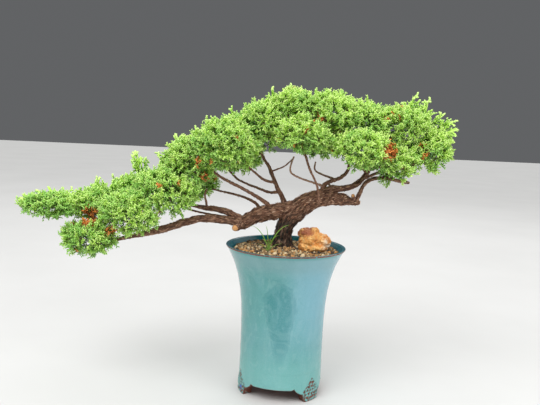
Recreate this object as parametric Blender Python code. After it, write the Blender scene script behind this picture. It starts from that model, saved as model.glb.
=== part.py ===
"""A juniper bonsai in a tall round glazed pot, with its drainage, soil, stone and a grass weed.

Everything is modelled about the pot's axis, with the feet on Z = 0 and the front towards -Y.
At the end the whole object is moved so that its origin is the bottom centre of its bounding box.
"""

import math

import bmesh
import bpy
from mathutils import Vector, noise

MM = 0.001
GAP = 0.3 * MM  # left between pieces that touch

# The pot's wall: a straight body that flares into a wide lip, on a ring cut into three feet.
SEGMENTS = 40
POT_HEIGHT = 236 * MM
WAIST_HEIGHT = 54 * MM
WAIST_RADIUS = 66.3 * MM
LIP_FLARE = 28.7 * MM
LIP_CURVE = 4
BASE_FLARE = 1.0 * MM
WALL = 5.5 * MM
FLOOR_UNDERSIDE = 24 * MM
FLOOR_TOP = 32 * MM
DRAIN_RADIUS = 9 * MM
WALL_HEIGHTS = (0, 10, 24, 40, 54, 84, 114, 139, 160, 178, 194, 207, 218, 227, 233.5)
INSIDE_HEIGHTS = (229, 218, 204, 188, 168, 140, 104, 54)

# The three bracket feet, and the arches between them that leave a cusped apron.
FOOT_ANGLES = (48, 168, 288)
FOOT_RING_INNER = 52 * MM
ARCH_HALF_ANGLE = 47
APRON_HEIGHT = 21.5 * MM
ARCH_OUTLINE = (
    (1.0, -0.3), (0.985, 0.25), (0.96, 0.46), (0.9, 0.58), (0.8, 0.7),
    (0.72, 0.84), (0.66, 1.06), (0.58, 0.97), (0.3, 0.99),
)

# Drainage: a plastic mesh over the hole, held by a staple of aluminium wire.
MESH_HOLES = 5
MESH_PITCH = 5.5 * MM
MESH_BAR = 2 * MM
MESH_THICKNESS = 1.2 * MM
WIRE_RADIUS = 0.75 * MM
WIRE_REACH = 24 * MM

# Soil: fills the pot to just under the rim and rises slightly round the trunk.
SOIL_EDGE = 226 * MM
SOIL_RISE = 6 * MM
SOIL_RINGS = (78, 68, 56, 44, 32, 20, 10)
TRUNK_FOOT = Vector((-5, 18)) * MM

# The stone that stands on the soil at the right of the trunk.
STONE_CENTRE = Vector((45, 6, 246)) * MM
STONE_HALF_SIZE = Vector((27, 20, 19.5)) * MM

# The grass weed: blades from one crown, each given by its tip's offset from the crown.
GRASS_FOOT = Vector((-27.5, -20, 228.5)) * MM
GRASS_TIPS = ((-30, 3, 39), (-6, -3, 41), (33, 6, 42), (16, -9, 27), (-18, -8, 12), (-11, 9, 18))
GRASS_RADIUS = 0.8 * MM

# Woody parts as routes of (x, y, z, radius) in millimetres. Each is trimmed to those before it.
TRUNK = (
    (-2, 4, 104, 3), (-4, 10, 144, 6), (-5, 16, 179, 9), (-5, 18, 202, 13), (-5, 18, 216, 17),
    (-5, 17, 226, 16), (-5, 16, 240, 13.5), (-4, 15, 256, 13), (2, 14, 273, 13.5),
    (13, 13, 288, 14.5), (30, 11, 302, 14), (50, 9, 311, 12.5), (70, 6, 313, 10.5),
    (86, 4, 312, 8.5), (100, 2, 310, 5.5), (112, 0, 309, 4),
)
ROOTS = (
    ((-2, 16, 213, 8), (14, 6, 211, 6.5), (26, -6, 194, 5), (36, -14, 162, 3.5), (44, -20, 114, 2)),
    ((-8, 16, 213, 8), (-23, 6, 210, 6.5), (-36, -8, 192, 5), (-44, -20, 154, 3.5), (-46, -26, 104, 2)),
    ((-8, 20, 211, 8), (-21, 32, 205, 6.5), (-34, 42, 182, 5), (-32, 40, 134, 3), (-30, 40, 84, 2)),
    ((-2, 20, 211, 8), (12, 33, 204, 6.5), (28, 44, 178, 5), (30, 40, 124, 3), (30, 34, 74, 2)),
)
LIMBS = {
    "left_limb": (
        (10, 14, 292, 12.5), (-8, 13, 289, 12.5), (-27, 11, 286, 12), (-46, 8, 281, 11.5),
        (-62, 4, 272, 10.5), (-72, 1, 267, 9.5), (-80, -3, 265, 7),
    ),
    "left_pruned_stub": ((-73, -4, 267, 7), (-77, -12, 264, 5.8), (-80, -18, 263, 5.2)),
    "left_lower_branch": (
        (-72, 0, 270, 7), (-86, -2, 271, 6.5), (-104, -5, 273, 6), (-121, -8, 274, 5.8),
        (-136, -10, 274, 5.6), (-150, -13, 271, 5.7), (-167, -16, 265, 5.6), (-189, -20, 258, 5.5),
        (-212, -24, 251, 4.8), (-234, -27, 246, 3.8), (-257, -30, 240, 2.8), (-277, -36, 233, 2),
        (-292, -44, 236, 1.6),
    ),
    "left_tip_branch": (
        (-211, -23, 251, 2.8), (-236, -22, 262, 2.4), (-270, -26, 274, 2), (-312, -34, 282, 1.6),
        (-350, -40, 286, 1.3),
    ),
    "left_upper_branch": (
        (-70, 3, 273, 5.4), (-84, 3, 280, 5.2), (-98, 4, 285, 4.8), (-114, 6, 288, 4.3),
        (-131, 8, 289, 3.6), (-152, 10, 292, 2.9), (-172, 8, 297, 2.3), (-192, 0, 306, 1.8),
    ),
    "left_middle_twig": (
        (-84, 4, 279, 2.2), (-96, 12, 275, 1.8), (-114, 19, 276, 1.5), (-134, 24, 278, 1.4),
        (-158, 30, 282, 1.3), (-178, 34, 290, 1.2),
    ),
    "left_back_branch": (
        (-150, 11, 292, 2), (-170, 20, 294, 1.8), (-200, 28, 298, 1.5), (-236, 32, 302, 1.2),
    ),
    "left_upright_twig": (
        (-128, 8, 289, 1.8), (-129, 4, 299, 1.5), (-131, 0, 310, 1.3), (-128, -4, 320, 1.1),
    ),
    "leader": (
        (-4, 14, 297, 5), (-9, 16, 311, 3.9), (-16, 18, 322, 3.4), (-21, 20, 334, 3.1),
        (-27, 22, 346, 2.9), (-33, 24, 359, 2.5), (-42, 26, 372, 2.3), (-46, 24, 388, 2.1),
        (-42, 16, 406, 1.9), (-32, 8, 424, 1.7), (-12, 2, 438, 1.5),
    ),
    "leader_front_branch": (
        (-21, 20, 333, 2.2), (-33, 16, 335, 1.9), (-42, 12, 339, 1.7), (-52, 6, 347, 1.5),
        (-64, -2, 358, 1.4), (-78, -10, 374, 1.3),
    ),
    "leader_back_branch": (
        (-15, 18, 319, 2.3), (-27, 25, 316, 2), (-39, 33, 318, 1.8), (-52, 40, 322, 1.7),
        (-66, 46, 326, 1.6), (-84, 50, 334, 1.5), (-100, 48, 350, 1.3),
    ),
    "leader_right_twig": ((-29, 23, 350, 1.3), (-18, 16, 355, 1.1), (-7, 10, 361, 1), (6, 2, 374, 0.9)),
    "shoulder_branch": (
        (-27, 10, 294, 3.4), (-41, 4, 306, 2.7), (-54, -2, 314, 2.4), (-66, -8, 321, 2.2),
        (-79, -12, 328, 2.1), (-94, -16, 335, 2), (-110, -18, 344, 1.8), (-126, -16, 356, 1.5),
    ),
    "shoulder_back_branch": (
        (-42, 14, 286, 2.8), (-50, 23, 297, 2.2), (-62, 30, 303, 1.9), (-77, 37, 307, 1.7),
        (-94, 43, 310, 1.6), (-112, 46, 313, 1.4), (-134, 46, 318, 1.2),
    ),
    "right_rising_branch": (
        (46, 9, 316, 7), (64, 9, 326, 6), (80, 10, 328, 5), (93, 12, 330, 4.6), (106, 14, 335, 4.3),
        (117, 18, 344, 4), (125, 20, 355, 3.5), (128, 20, 363, 3),
    ),
    "right_low_branch": (
        (106, 0, 309, 3.6), (112, 1, 322, 3.2), (118, 3, 336, 3), (126, 4, 344, 3), (137, 4, 348, 3),
        (153, 2, 349, 2.8), (171, -2, 346, 2.6), (187, -6, 344, 2.4),
    ),
    "right_pruned_stub": ((104, 1, 311, 3.6), (102, -5, 317, 3), (101, -9, 320, 2.8)),
    "right_upright_branch": (
        (54, 6, 320, 3.4), (56, 9, 332, 3), (66, 14, 339, 2.8), (83, 22, 345, 2.6), (94, 29, 355, 2.4),
        (97, 33, 366, 2.2), (92, 34, 378, 2), (80, 28, 396, 1.7), (66, 12, 418, 1.5),
    ),
    "right_left_twig": (
        (74, 18, 342, 1.9), (62, 24, 346, 1.5), (50, 30, 350, 1.4), (42, 34, 356, 1.2), (43, 36, 368, 1.1),
    ),
    "thin_pale_branch": (
        (56, 8, 331, 1.9), (46, 4, 335, 1.5), (36, 0, 338, 1.4), (20, -6, 343, 1.3), (5, -12, 350, 1.2),
        (1, -14, 356, 1.2), (2, -12, 365, 1.1), (6, -8, 377, 1),
    ),
    "hanging_twig": (
        (78, 27, 398, 1.7), (56, 6, 408, 1.6), (30, -16, 402, 1.6), (16, -28, 392, 1.5),
        (23, -34, 379, 1.5), (30, -38, 360, 1.5), (39, -36, 343, 1.4), (44, -32, 329, 1.4),
        (48, -26, 306, 1.3),
    ),
    "loop_twig": ((64, 10, 335, 1.6), (66, -1, 332, 1.2), (66, -7, 324, 1.1), (62, -9, 314, 1)),
    "right_inner_branch": (
        (125, 20, 355, 2.8), (116, 14, 363, 2.4), (105, 8, 371, 2.2), (98, 2, 381, 2), (95, -4, 394, 1.7),
        (92, -8, 410, 1.4),
    ),
    "right_inner_stub": ((106, 9, 370, 2.4), (106, 2, 365, 2), (107, -3, 363, 1.9)),
    "right_inner_twig": ((106, 9, 371, 1.6), (116, 4, 380, 1.3), (125, 0, 388, 1.1), (134, -6, 398, 1)),
    "right_outer_branch": (
        (127, 20, 360, 2.6), (138, 13, 365, 2.2), (152, 6, 367, 2), (167, 0, 364, 1.8), (182, -5, 368, 1.6),
        (198, -4, 380, 1.3),
    ),
    "right_back_branch": (
        (117, 19, 344, 2.6), (127, 27, 348, 2.2), (146, 36, 356, 1.9), (168, 38, 370, 1.6),
        (186, 32, 388, 1.3),
    ),
}

# Foliage masses as a centre and half sizes in millimetres. Neighbours meet on flat faces.
FOLIAGE = {
    "foliage_left_tip": ((-358, -40, 290), (50, 34, 20)),
    "foliage_left_hanging": ((-300, -50, 244), (42, 36, 25)),
    "foliage_left_outer": ((-296, -2, 290), (46, 44, 27)),
    "foliage_left_front": ((-236, -52, 285), (47, 40, 33)),
    "foliage_left_back": ((-236, 38, 308), (50, 44, 30)),
    "foliage_shoulder_low": ((-186, -32, 317), (48, 46, 38)),
    "foliage_shoulder_back": ((-162, 54, 330), (46, 42, 33)),
    "foliage_shoulder_top": ((-150, -8, 364), (44, 48, 37)),
    "foliage_crown_left": ((-94, -34, 394), (48, 50, 42)),
    "foliage_crown_back": ((-90, 60, 380), (48, 46, 38)),
    "foliage_crown_mid": ((-42, -2, 424), (42, 52, 38)),
    "foliage_crown_peak": ((4, 2, 449), (36, 48, 33)),
    "foliage_crown_front": ((18, -52, 412), (42, 36, 27)),
    "foliage_right_top": ((60, -18, 444), (42, 48, 34)),
    "foliage_right_back": ((52, 60, 408), (52, 44, 34)),
    "foliage_right_mid": ((112, 0, 430), (44, 52, 36)),
    "foliage_right_front": ((104, -54, 394), (42, 38, 29)),
    "foliage_right_low": ((158, -8, 374), (46, 50, 33)),
    "foliage_right_outer": ((178, 8, 430), (44, 50, 34)),
    "foliage_right_tip": ((218, 2, 399), (34, 44, 33)),
}
FOLIAGE_LUMPS = 0.10  # how far the lumps stand out, as a share of the radius


def finish(piece, colour, roughness, metallic=0.0, coat=0.0):
    """Give a piece its own surface."""
    surface = bpy.data.materials.new(f"{piece.name}_finish")
    surface.use_nodes = True
    shader = surface.node_tree.nodes["Principled BSDF"]
    shader.inputs["Base Color"].default_value = (*colour, 1.0)
    shader.inputs["Roughness"].default_value = roughness
    shader.inputs["Metallic"].default_value = metallic
    shader.inputs["Coat Weight"].default_value = coat
    piece.data.materials.clear()
    piece.data.materials.append(surface)


def as_piece(name, shape, smooth=True):
    """Turn a bmesh into a named object."""
    bmesh.ops.recalc_face_normals(shape, faces=shape.faces)
    mesh = bpy.data.meshes.new(name)
    shape.to_mesh(mesh)
    shape.free()
    if smooth:
        mesh.shade_smooth()
        mesh.set_sharp_from_angle(angle=math.radians(40))
    piece = bpy.data.objects.new(name, mesh)
    bpy.context.scene.collection.objects.link(piece)
    return piece


def combine(piece, tool, operation):
    """Cut a piece with a tool, or join the tool to it, and discard the tool."""
    step = piece.modifiers.new(operation.lower(), "BOOLEAN")
    step.operation = operation
    step.solver = "EXACT"
    step.object = tool
    evaluated = piece.evaluated_get(bpy.context.evaluated_depsgraph_get())
    result = bpy.data.meshes.new_from_object(evaluated)
    piece.modifiers.clear()
    piece.data = result
    bpy.data.objects.remove(tool)


def bounds(piece):
    """The lowest and highest corners of a piece."""
    places = [vertex.co for vertex in piece.data.vertices]
    low = Vector([min(place[axis] for place in places) for axis in range(3)])
    high = Vector([max(place[axis] for place in places) for axis in range(3)])
    return low, high


def boxes_meet(first, second):
    """Whether two pieces' boxes overlap."""
    (low_a, high_a), (low_b, high_b) = bounds(first), bounds(second)
    return all(low_a[i] < high_b[i] and low_b[i] < high_a[i] for i in range(3))


def keep_largest_body(piece):
    """Drop the chips that a cut leaves beside the main body."""
    shape = bmesh.new()
    shape.from_mesh(piece.data)
    unseen = set(shape.verts)
    bodies = []
    while unseen:
        stack = [unseen.pop()]
        body = set(stack)
        while stack:
            for edge in stack.pop().link_edges:
                for vertex in edge.verts:
                    if vertex in unseen:
                        unseen.remove(vertex)
                        body.add(vertex)
                        stack.append(vertex)
        bodies.append(body)
    bodies.sort(key=len)
    chips = [vertex for body in bodies[:-1] for vertex in body]
    bmesh.ops.delete(shape, geom=chips, context="VERTS")
    shape.to_mesh(piece.data)
    shape.free()


def on_circle(radius, angle_degrees, height):
    """A point about the pot's axis. Angle 0 is the front, and it grows towards +X."""
    angle = math.radians(angle_degrees)
    return Vector((radius * math.sin(angle), -radius * math.cos(angle), height))


def turned(name, profile, closed):
    """Revolve (radius, height) points about the axis; a profile that isn't closed starts and ends on it."""
    shape = bmesh.new()
    rings = []
    for radius, height in profile:
        count = 1 if radius == 0 else SEGMENTS
        ring = [shape.verts.new(on_circle(radius, 360 * i / SEGMENTS, height)) for i in range(count)]
        rings.append(ring)
    pairs = list(zip(rings, rings[1:]))
    if closed:
        pairs.append((rings[-1], rings[0]))
    for lower, upper in pairs:
        for i in range(SEGMENTS):
            j = (i + 1) % SEGMENTS
            if len(lower) == 1:
                shape.faces.new((lower[0], upper[j], upper[i]))
            elif len(upper) == 1:
                shape.faces.new((lower[i], lower[j], upper[0]))
            else:
                shape.faces.new((lower[i], lower[j], upper[j], upper[i]))
    return as_piece(name, shape)


def wall_radius(height):
    """The pot's outer radius at a height."""
    flare = max(0.0, (height - WAIST_HEIGHT) / (POT_HEIGHT - WAIST_HEIGHT)) ** LIP_CURVE
    base = max(0.0, 1 - height / WAIST_HEIGHT) ** 2
    return WAIST_RADIUS + LIP_FLARE * flare + BASE_FLARE * base


def inside_radius(height):
    """The pot's inner radius at a height."""
    return wall_radius(height) - WALL


def arch_cutter(middle_angle):
    """The space between two feet, with a stepped and cusped top."""
    half = [(ARCH_HALF_ANGLE * across, APRON_HEIGHT * up) for across, up in ARCH_OUTLINE]
    outline = [(-angle, height) for angle, height in half] + [(0, APRON_HEIGHT)]
    outline += [(angle, height) for angle, height in reversed(half)]
    shape = bmesh.new()
    columns = []
    for angle, height in outline:
        column = [
            on_circle(radius, middle_angle + angle, level)
            for radius, level in (
                (FOOT_RING_INNER - 12 * MM, -5 * MM),
                (WAIST_RADIUS + 12 * MM, -5 * MM),
                (WAIST_RADIUS + 12 * MM, max(height, -4 * MM)),
                (FOOT_RING_INNER - 12 * MM, max(height, -4 * MM)),
            )
        ]
        columns.append([shape.verts.new(place) for place in column])
    shape.faces.new(columns[0])
    shape.faces.new(columns[-1])
    for first, second in zip(columns, columns[1:]):
        for i in range(4):
            j = (i + 1) % 4
            shape.faces.new((first[i], first[j], second[j], second[i]))
    return as_piece("arch", shape)


def make_pot():
    """The pot: one piece of glazed stoneware with its feet, its lip and its drain hole."""
    profile = [(wall_radius(z * MM), z * MM) for z in WALL_HEIGHTS]
    top = wall_radius(POT_HEIGHT)
    profile += [(top - 0.4 * MM, POT_HEIGHT - 0.6 * MM), (top - 1.6 * MM, POT_HEIGHT)]
    profile += [(top - 4.2 * MM, POT_HEIGHT), (top - 5.8 * MM, POT_HEIGHT - 1.2 * MM)]
    profile += [(inside_radius(z * MM), z * MM) for z in INSIDE_HEIGHTS]
    profile += [(inside_radius(FLOOR_TOP), FLOOR_TOP), (DRAIN_RADIUS, FLOOR_TOP)]
    profile += [(DRAIN_RADIUS, FLOOR_UNDERSIDE), (FOOT_RING_INNER, FLOOR_UNDERSIDE), (FOOT_RING_INNER, 0)]
    pot = turned("pot", profile, closed=True)
    for angle in FOOT_ANGLES:
        combine(pot, arch_cutter(angle + 60), "DIFFERENCE")
    finish(pot, (0.22, 0.50, 0.52), 0.12, coat=0.6)


def make_drainage_mesh():
    """The square of plastic mesh that lies over the drain hole."""
    steps = [-MESH_HOLES * MESH_PITCH / 2 - MESH_BAR / 2]
    for _ in range(MESH_HOLES):
        steps.append(steps[-1] + MESH_BAR)
        steps.append(steps[-1] + MESH_PITCH - MESH_BAR)
    steps.append(steps[-1] + MESH_BAR)
    bottom = FLOOR_TOP + GAP
    shape = bmesh.new()
    levels = [bottom, bottom + MESH_THICKNESS]
    grid = {
        (i, j, k): shape.verts.new((x, y, z))
        for i, x in enumerate(steps) for j, y in enumerate(steps) for k, z in enumerate(levels)
    }
    cells = range(len(steps) - 1)
    solid = {(i, j) for i in cells for j in cells if i % 2 == 0 or j % 2 == 0}
    for i, j in solid:
        for k in (0, 1):
            shape.faces.new((grid[i, j, k], grid[i + 1, j, k], grid[i + 1, j + 1, k], grid[i, j + 1, k]))
        sides = {(-1, 0): ((i, j), (i, j + 1)), (1, 0): ((i + 1, j), (i + 1, j + 1))}
        sides |= {(0, -1): ((i, j), (i + 1, j)), (0, 1): ((i, j + 1), (i + 1, j + 1))}
        for (di, dj), (start, end) in sides.items():
            if (i + di, j + dj) not in solid:
                shape.faces.new((grid[*start, 0], grid[*end, 0], grid[*end, 1], grid[*start, 1]))
    finish(as_piece("drainage_mesh", shape, smooth=False), (0.03, 0.03, 0.03), 0.6)


def smooth_route(points, spacing):
    """Points and radii along a smooth curve through a route, about one spacing apart."""
    places = [Vector(point[:3]) * MM for point in points]
    radii = [point[3] * MM for point in points]
    result = []
    for i in range(len(places) - 1):
        before = places[max(i - 1, 0)]
        after = places[min(i + 2, len(places) - 1)]
        start, end = places[i], places[i + 1]
        steps = max(1, round((end - start).length / spacing))
        for step in range(steps):
            t = step / steps
            place = 0.5 * (
                2 * start + (end - before) * t
                + (2 * before - 5 * start + 4 * end - after) * t * t
                + (3 * start - before - 3 * end + after) * t ** 3
            )
            result.append((place, radii[i] + (radii[i + 1] - radii[i]) * t))
    result.append((places[-1], radii[-1]))
    return result


def tube(name, route, sides, grow=0.0, roughness=0.0):
    """A capped tube along a route; grow widens and lengthens it, and roughness makes it uneven."""
    shape = bmesh.new()
    across = Vector((0.3, -1, 0.2))
    last = len(route) - 1
    rings = []
    for index, (place, radius) in enumerate(route):
        ahead = (route[min(index + 1, last)][0] - route[max(index - 1, 0)][0]).normalized()
        across = (across - ahead * across.dot(ahead)).normalized()
        other = ahead.cross(across)
        shift = ahead * (grow * ((index == last) - (index == 0)))
        ring = []
        for side in range(sides):
            angle = 2 * math.pi * side / sides
            outward = across * math.cos(angle) + other * math.sin(angle)
            uneven = 1 + roughness * noise.noise((place + outward * radius) * 60)
            ring.append(shape.verts.new(place + shift + outward * (radius * uneven + grow)))
        rings.append(ring)
    for lower, upper in zip(rings, rings[1:]):
        for i in range(sides):
            j = (i + 1) % sides
            shape.faces.new((lower[i], lower[j], upper[j], upper[i]))
    for ring, step in ((rings[0], -1), (rings[-1], 1)):
        middle = shape.verts.new(sum((vertex.co for vertex in ring), Vector()) / sides)
        for i in range(sides):
            shape.faces.new((middle, ring[i], ring[(i + step) % sides]))
    return as_piece(name, shape)


def make_mesh_wire():
    """The staple through the mesh and the drain hole, with its ends bent out under the floor."""
    over = FLOOR_TOP + GAP + MESH_THICKNESS + GAP + WIRE_RADIUS
    under = FLOOR_UNDERSIDE - GAP - WIRE_RADIUS
    leg = MESH_PITCH
    bend = 2 * MM
    half = [(leg - 1 * MM, over), (leg, over - 1.4 * MM), (leg, under + bend), (leg + bend, under)]
    half.append((WIRE_REACH, under))
    line = [(-x, z) for x, z in reversed(half)] + half
    route = [(Vector((x, 0, z)), WIRE_RADIUS) for x, z in line]
    finish(tube("mesh_wire", route, 8), (0.6, 0.6, 0.62), 0.35, metallic=1.0)


def soil_height(place):
    """The soil's surface: level at the wall, a little higher round the trunk."""
    away = (place.xy - TRUNK_FOOT).length / wall_radius(SOIL_EDGE)
    uneven = 0.8 * MM * noise.noise(Vector((place.x, place.y, 0)) * 55)
    return SOIL_EDGE + SOIL_RISE * max(0.0, 1 - away) + uneven


def box(name, low, high):
    """A plain block between two corners."""
    shape = bmesh.new()
    bmesh.ops.create_cube(shape, size=1)
    for vertex in shape.verts:
        for axis in range(3):
            vertex.co[axis] = low[axis] if vertex.co[axis] < 0 else high[axis]
    return as_piece(name, shape, smooth=False)


def trunk_solid(name, grow=0.0):
    """The trunk with its roots as one body."""
    trunk = tube(name, smooth_route(TRUNK, 9 * MM), 12, grow, roughness=0.10)
    for root in ROOTS:
        combine(trunk, tube("root", smooth_route(root, 22 * MM), 6, grow), "UNION")
    return trunk


def stone_solid(name, grow=0.0):
    """A craggy lump: a sphere drawn out, with its surface broken by sharp-edged lumps."""
    shape = bmesh.new()
    bmesh.ops.create_icosphere(shape, subdivisions=3, radius=1)
    for vertex in shape.verts:
        way = vertex.co.normalized()
        lumps = noise.voronoi(way * 1.7 + Vector((2, 5, 1)), distance_metric="DISTANCE")[0][0]
        size = 0.84 + 0.30 * lumps + 0.10 * noise.noise(way * 3.1)
        lean = Vector((-0.10 * way.z, 0, 0.10 * way.x))
        reach = Vector([(way[i] + lean[i]) * STONE_HALF_SIZE[i] for i in range(3)]) * size
        reach.z = max(reach.z, -17.5 * MM)
        vertex.co = STONE_CENTRE + reach + way * grow
    return as_piece(name, shape)


def make_soil(trunk_cutter, stone_cutter, grass_cutter):
    """The gritty soil, hollowed for the roots, the stone's seat, the weed and the drainage."""
    edge = inside_radius(SOIL_EDGE) - GAP
    levels = [z * MM for z in reversed(INSIDE_HEIGHTS) if z * MM < SOIL_EDGE]
    bottom = FLOOR_TOP + GAP
    profile = [(0, bottom), (inside_radius(FLOOR_TOP) - GAP, bottom)]
    profile += [(inside_radius(level) - GAP, level) for level in levels]
    profile += [(edge, SOIL_EDGE)] + [(r * MM, SOIL_EDGE) for r in SOIL_RINGS] + [(0, SOIL_EDGE)]
    soil = turned("soil", profile, closed=False)
    for vertex in soil.data.vertices:
        if vertex.co.z > SOIL_EDGE - GAP and vertex.co.xy.length < edge - GAP:
            vertex.co.z = soil_height(vertex.co)
    half = MESH_HOLES * MESH_PITCH / 2 + MESH_BAR / 2 + GAP
    lift = bottom + MESH_THICKNESS + GAP
    combine(soil, box("seat", (-half, -half, 0), (half, half, lift)), "DIFFERENCE")
    slot = Vector((MESH_PITCH + WIRE_RADIUS + GAP, WIRE_RADIUS + GAP, 0))
    top = lift + 2 * (WIRE_RADIUS + GAP)
    combine(soil, box("slot", (-slot.x, -slot.y, 0), (slot.x, slot.y, top)), "DIFFERENCE")
    for cutter in (trunk_cutter, stone_cutter, grass_cutter):
        combine(soil, cutter, "DIFFERENCE")
    keep_largest_body(soil)
    finish(soil, (0.30, 0.20, 0.12), 0.95)


def grass_solid(name, grow=0.0):
    """A tuft of blades that bend out from one crown."""
    foot = GRASS_FOOT / MM
    thick = GRASS_RADIUS / MM
    crown = [(*foot.xy, foot.z + lift, radius) for lift, radius in ((-6, 1.2), (0, 2.0), (5, 1.4))]
    tuft = tube(name, smooth_route(crown, 5 * MM), 6, grow)
    for tip in GRASS_TIPS:
        blade = []
        for share in (0.0, 0.3, 0.65, 1.0):
            aside = share ** 1.3
            place = foot + Vector((tip[0] * aside, tip[1] * aside, tip[2] * math.sin(share * math.pi / 2)))
            blade.append((*place, thick * (1 - 0.6 * share)))
        combine(tuft, tube("blade", smooth_route(blade, 12 * MM), 4, grow), "UNION")
    return tuft


def make_wood(trunk):
    """The limbs and twigs, each trimmed where it meets the ones before it."""
    built = {"trunk": trunk}
    for name, points in LIMBS.items():
        limb = limb_solid(name)
        for earlier, piece in built.items():
            if boxes_meet(limb, piece):
                cutter = trunk_solid("cutter", 1.5 * GAP) if earlier == "trunk" else limb_solid(earlier, GAP)
                combine(limb, cutter, "DIFFERENCE")
        keep_largest_body(limb)
        finish(limb, (0.20, 0.10, 0.06), 0.85)
        built[name] = limb
    return built


def limb_solid(name, grow=0.0):
    """A limb, with a side count that suits its thickness."""
    points = LIMBS[name]
    widest = max(point[3] for point in points)
    sides = 12 if widest > 8 else 8 if widest > 4 else 6
    spacing = (9 if widest > 8 else 12) * MM
    return tube(name, smooth_route(points, spacing), sides, grow, roughness=0.10)


def reach_towards(half_sizes, way):
    """How far an ellipsoid reaches along a direction."""
    return 1 / math.sqrt(sum((way[i] / half_sizes[i]) ** 2 for i in range(3)))


def foliage_mass(name):
    """One lumpy mass of foliage, flattened where it meets its neighbours."""
    centre, half_sizes = (Vector(values) * MM for values in FOLIAGE[name])
    shape = bmesh.new()
    bmesh.ops.create_icosphere(shape, subdivisions=3, radius=1)
    for vertex in shape.verts:
        way = vertex.co.normalized()
        place = Vector([way[i] * half_sizes[i] for i in range(3)])
        vertex.co = centre + place * (1 + FOLIAGE_LUMPS * noise.noise((centre + place) * 45))
    for other, values in FOLIAGE.items():
        if other == name:
            continue
        other_centre, other_sizes = (Vector(value) * MM for value in values)
        between = other_centre - centre
        way = between.normalized()
        mine, theirs = reach_towards(half_sizes, way), reach_towards(other_sizes, way)
        if between.length > 1.35 * (mine + theirs):
            continue
        limit = centre + way * (between.length * mine / (mine + theirs) - GAP)
        everything = shape.verts[:] + shape.edges[:] + shape.faces[:]
        bmesh.ops.bisect_plane(shape, geom=everything, plane_co=limit, plane_no=way, clear_outer=True)
        rim = [edge for edge in shape.edges if edge.is_boundary]
        bmesh.ops.holes_fill(shape, edges=rim)
    return as_piece(name, shape)


def make_foliage(wood):
    """The foliage masses, with the branches' room left in them."""
    for name in FOLIAGE:
        mass = foliage_mass(name)
        thin = mass.modifiers.new("thin", "DECIMATE")
        thin.ratio = 0.32
        evaluated = mass.evaluated_get(bpy.context.evaluated_depsgraph_get())
        coarse = bpy.data.meshes.new_from_object(evaluated)
        mass.modifiers.clear()
        mass.data = coarse
        for limb, piece in wood.items():
            if limb != "trunk" and boxes_meet(mass, piece):
                combine(mass, limb_solid(limb, GAP), "DIFFERENCE")
        keep_largest_body(mass)
        finish(mass, (0.25, 0.42, 0.09), 0.7)


def centre_origin():
    """Move the whole object so that its origin is the bottom centre of its box."""
    pieces = [piece for piece in bpy.data.objects if piece.type == "MESH"]
    corners = [bounds(piece) for piece in pieces]
    low = [min(corner[0][axis] for corner in corners) for axis in range(2)]
    high = [max(corner[1][axis] for corner in corners) for axis in range(2)]
    stand = bpy.data.objects.new("bonsai", None)
    bpy.context.scene.collection.objects.link(stand)
    stand.location = (-(low[0] + high[0]) / 2, -(low[1] + high[1]) / 2, 0)
    for piece in pieces:
        piece.parent = stand


def main():
    for thing in list(bpy.data.objects):
        bpy.data.objects.remove(thing)
    make_pot()
    make_drainage_mesh()
    make_mesh_wire()
    trunk = trunk_solid("trunk")
    finish(trunk, (0.13, 0.09, 0.06), 0.85)
    stone = stone_solid("stone")
    finish(stone, (0.70, 0.42, 0.20), 0.7)
    grass = grass_solid("grass_tuft")
    finish(grass, (0.22, 0.45, 0.06), 0.6)
    make_soil(trunk_solid("cutter", 1.5 * GAP), stone_solid("cutter", 2 * GAP), grass_solid("cutter", GAP))
    make_foliage(make_wood(trunk))
    centre_origin()


main()
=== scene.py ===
import math

import bmesh
import bpy
import numpy as np
from mathutils import Matrix, Vector, noise
from mathutils.bvhtree import BVHTree


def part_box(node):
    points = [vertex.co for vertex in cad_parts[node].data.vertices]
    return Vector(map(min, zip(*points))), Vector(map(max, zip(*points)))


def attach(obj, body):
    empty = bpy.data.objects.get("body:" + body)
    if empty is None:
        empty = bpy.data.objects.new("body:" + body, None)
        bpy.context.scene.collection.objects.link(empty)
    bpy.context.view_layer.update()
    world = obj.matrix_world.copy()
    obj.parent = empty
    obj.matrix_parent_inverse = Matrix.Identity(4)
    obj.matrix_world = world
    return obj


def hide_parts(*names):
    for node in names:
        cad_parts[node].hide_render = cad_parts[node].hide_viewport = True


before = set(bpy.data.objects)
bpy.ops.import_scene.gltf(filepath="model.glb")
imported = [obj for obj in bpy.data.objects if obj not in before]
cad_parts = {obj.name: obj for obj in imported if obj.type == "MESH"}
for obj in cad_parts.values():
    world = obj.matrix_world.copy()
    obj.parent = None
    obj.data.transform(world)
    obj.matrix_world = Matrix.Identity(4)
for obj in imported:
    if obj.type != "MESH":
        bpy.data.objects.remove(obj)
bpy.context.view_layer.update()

MM = 0.001
RANDOM = np.random.default_rng(20)

# The pot's axis in the row frame. Every place below is in millimetres from it, with the feet at 0.
POT_LOW, POT_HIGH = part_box("pot")
AXIS = Vector(((POT_LOW.x + POT_HIGH.x) / 2, (POT_LOW.y + POT_HIGH.y) / 2, 0))

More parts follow.
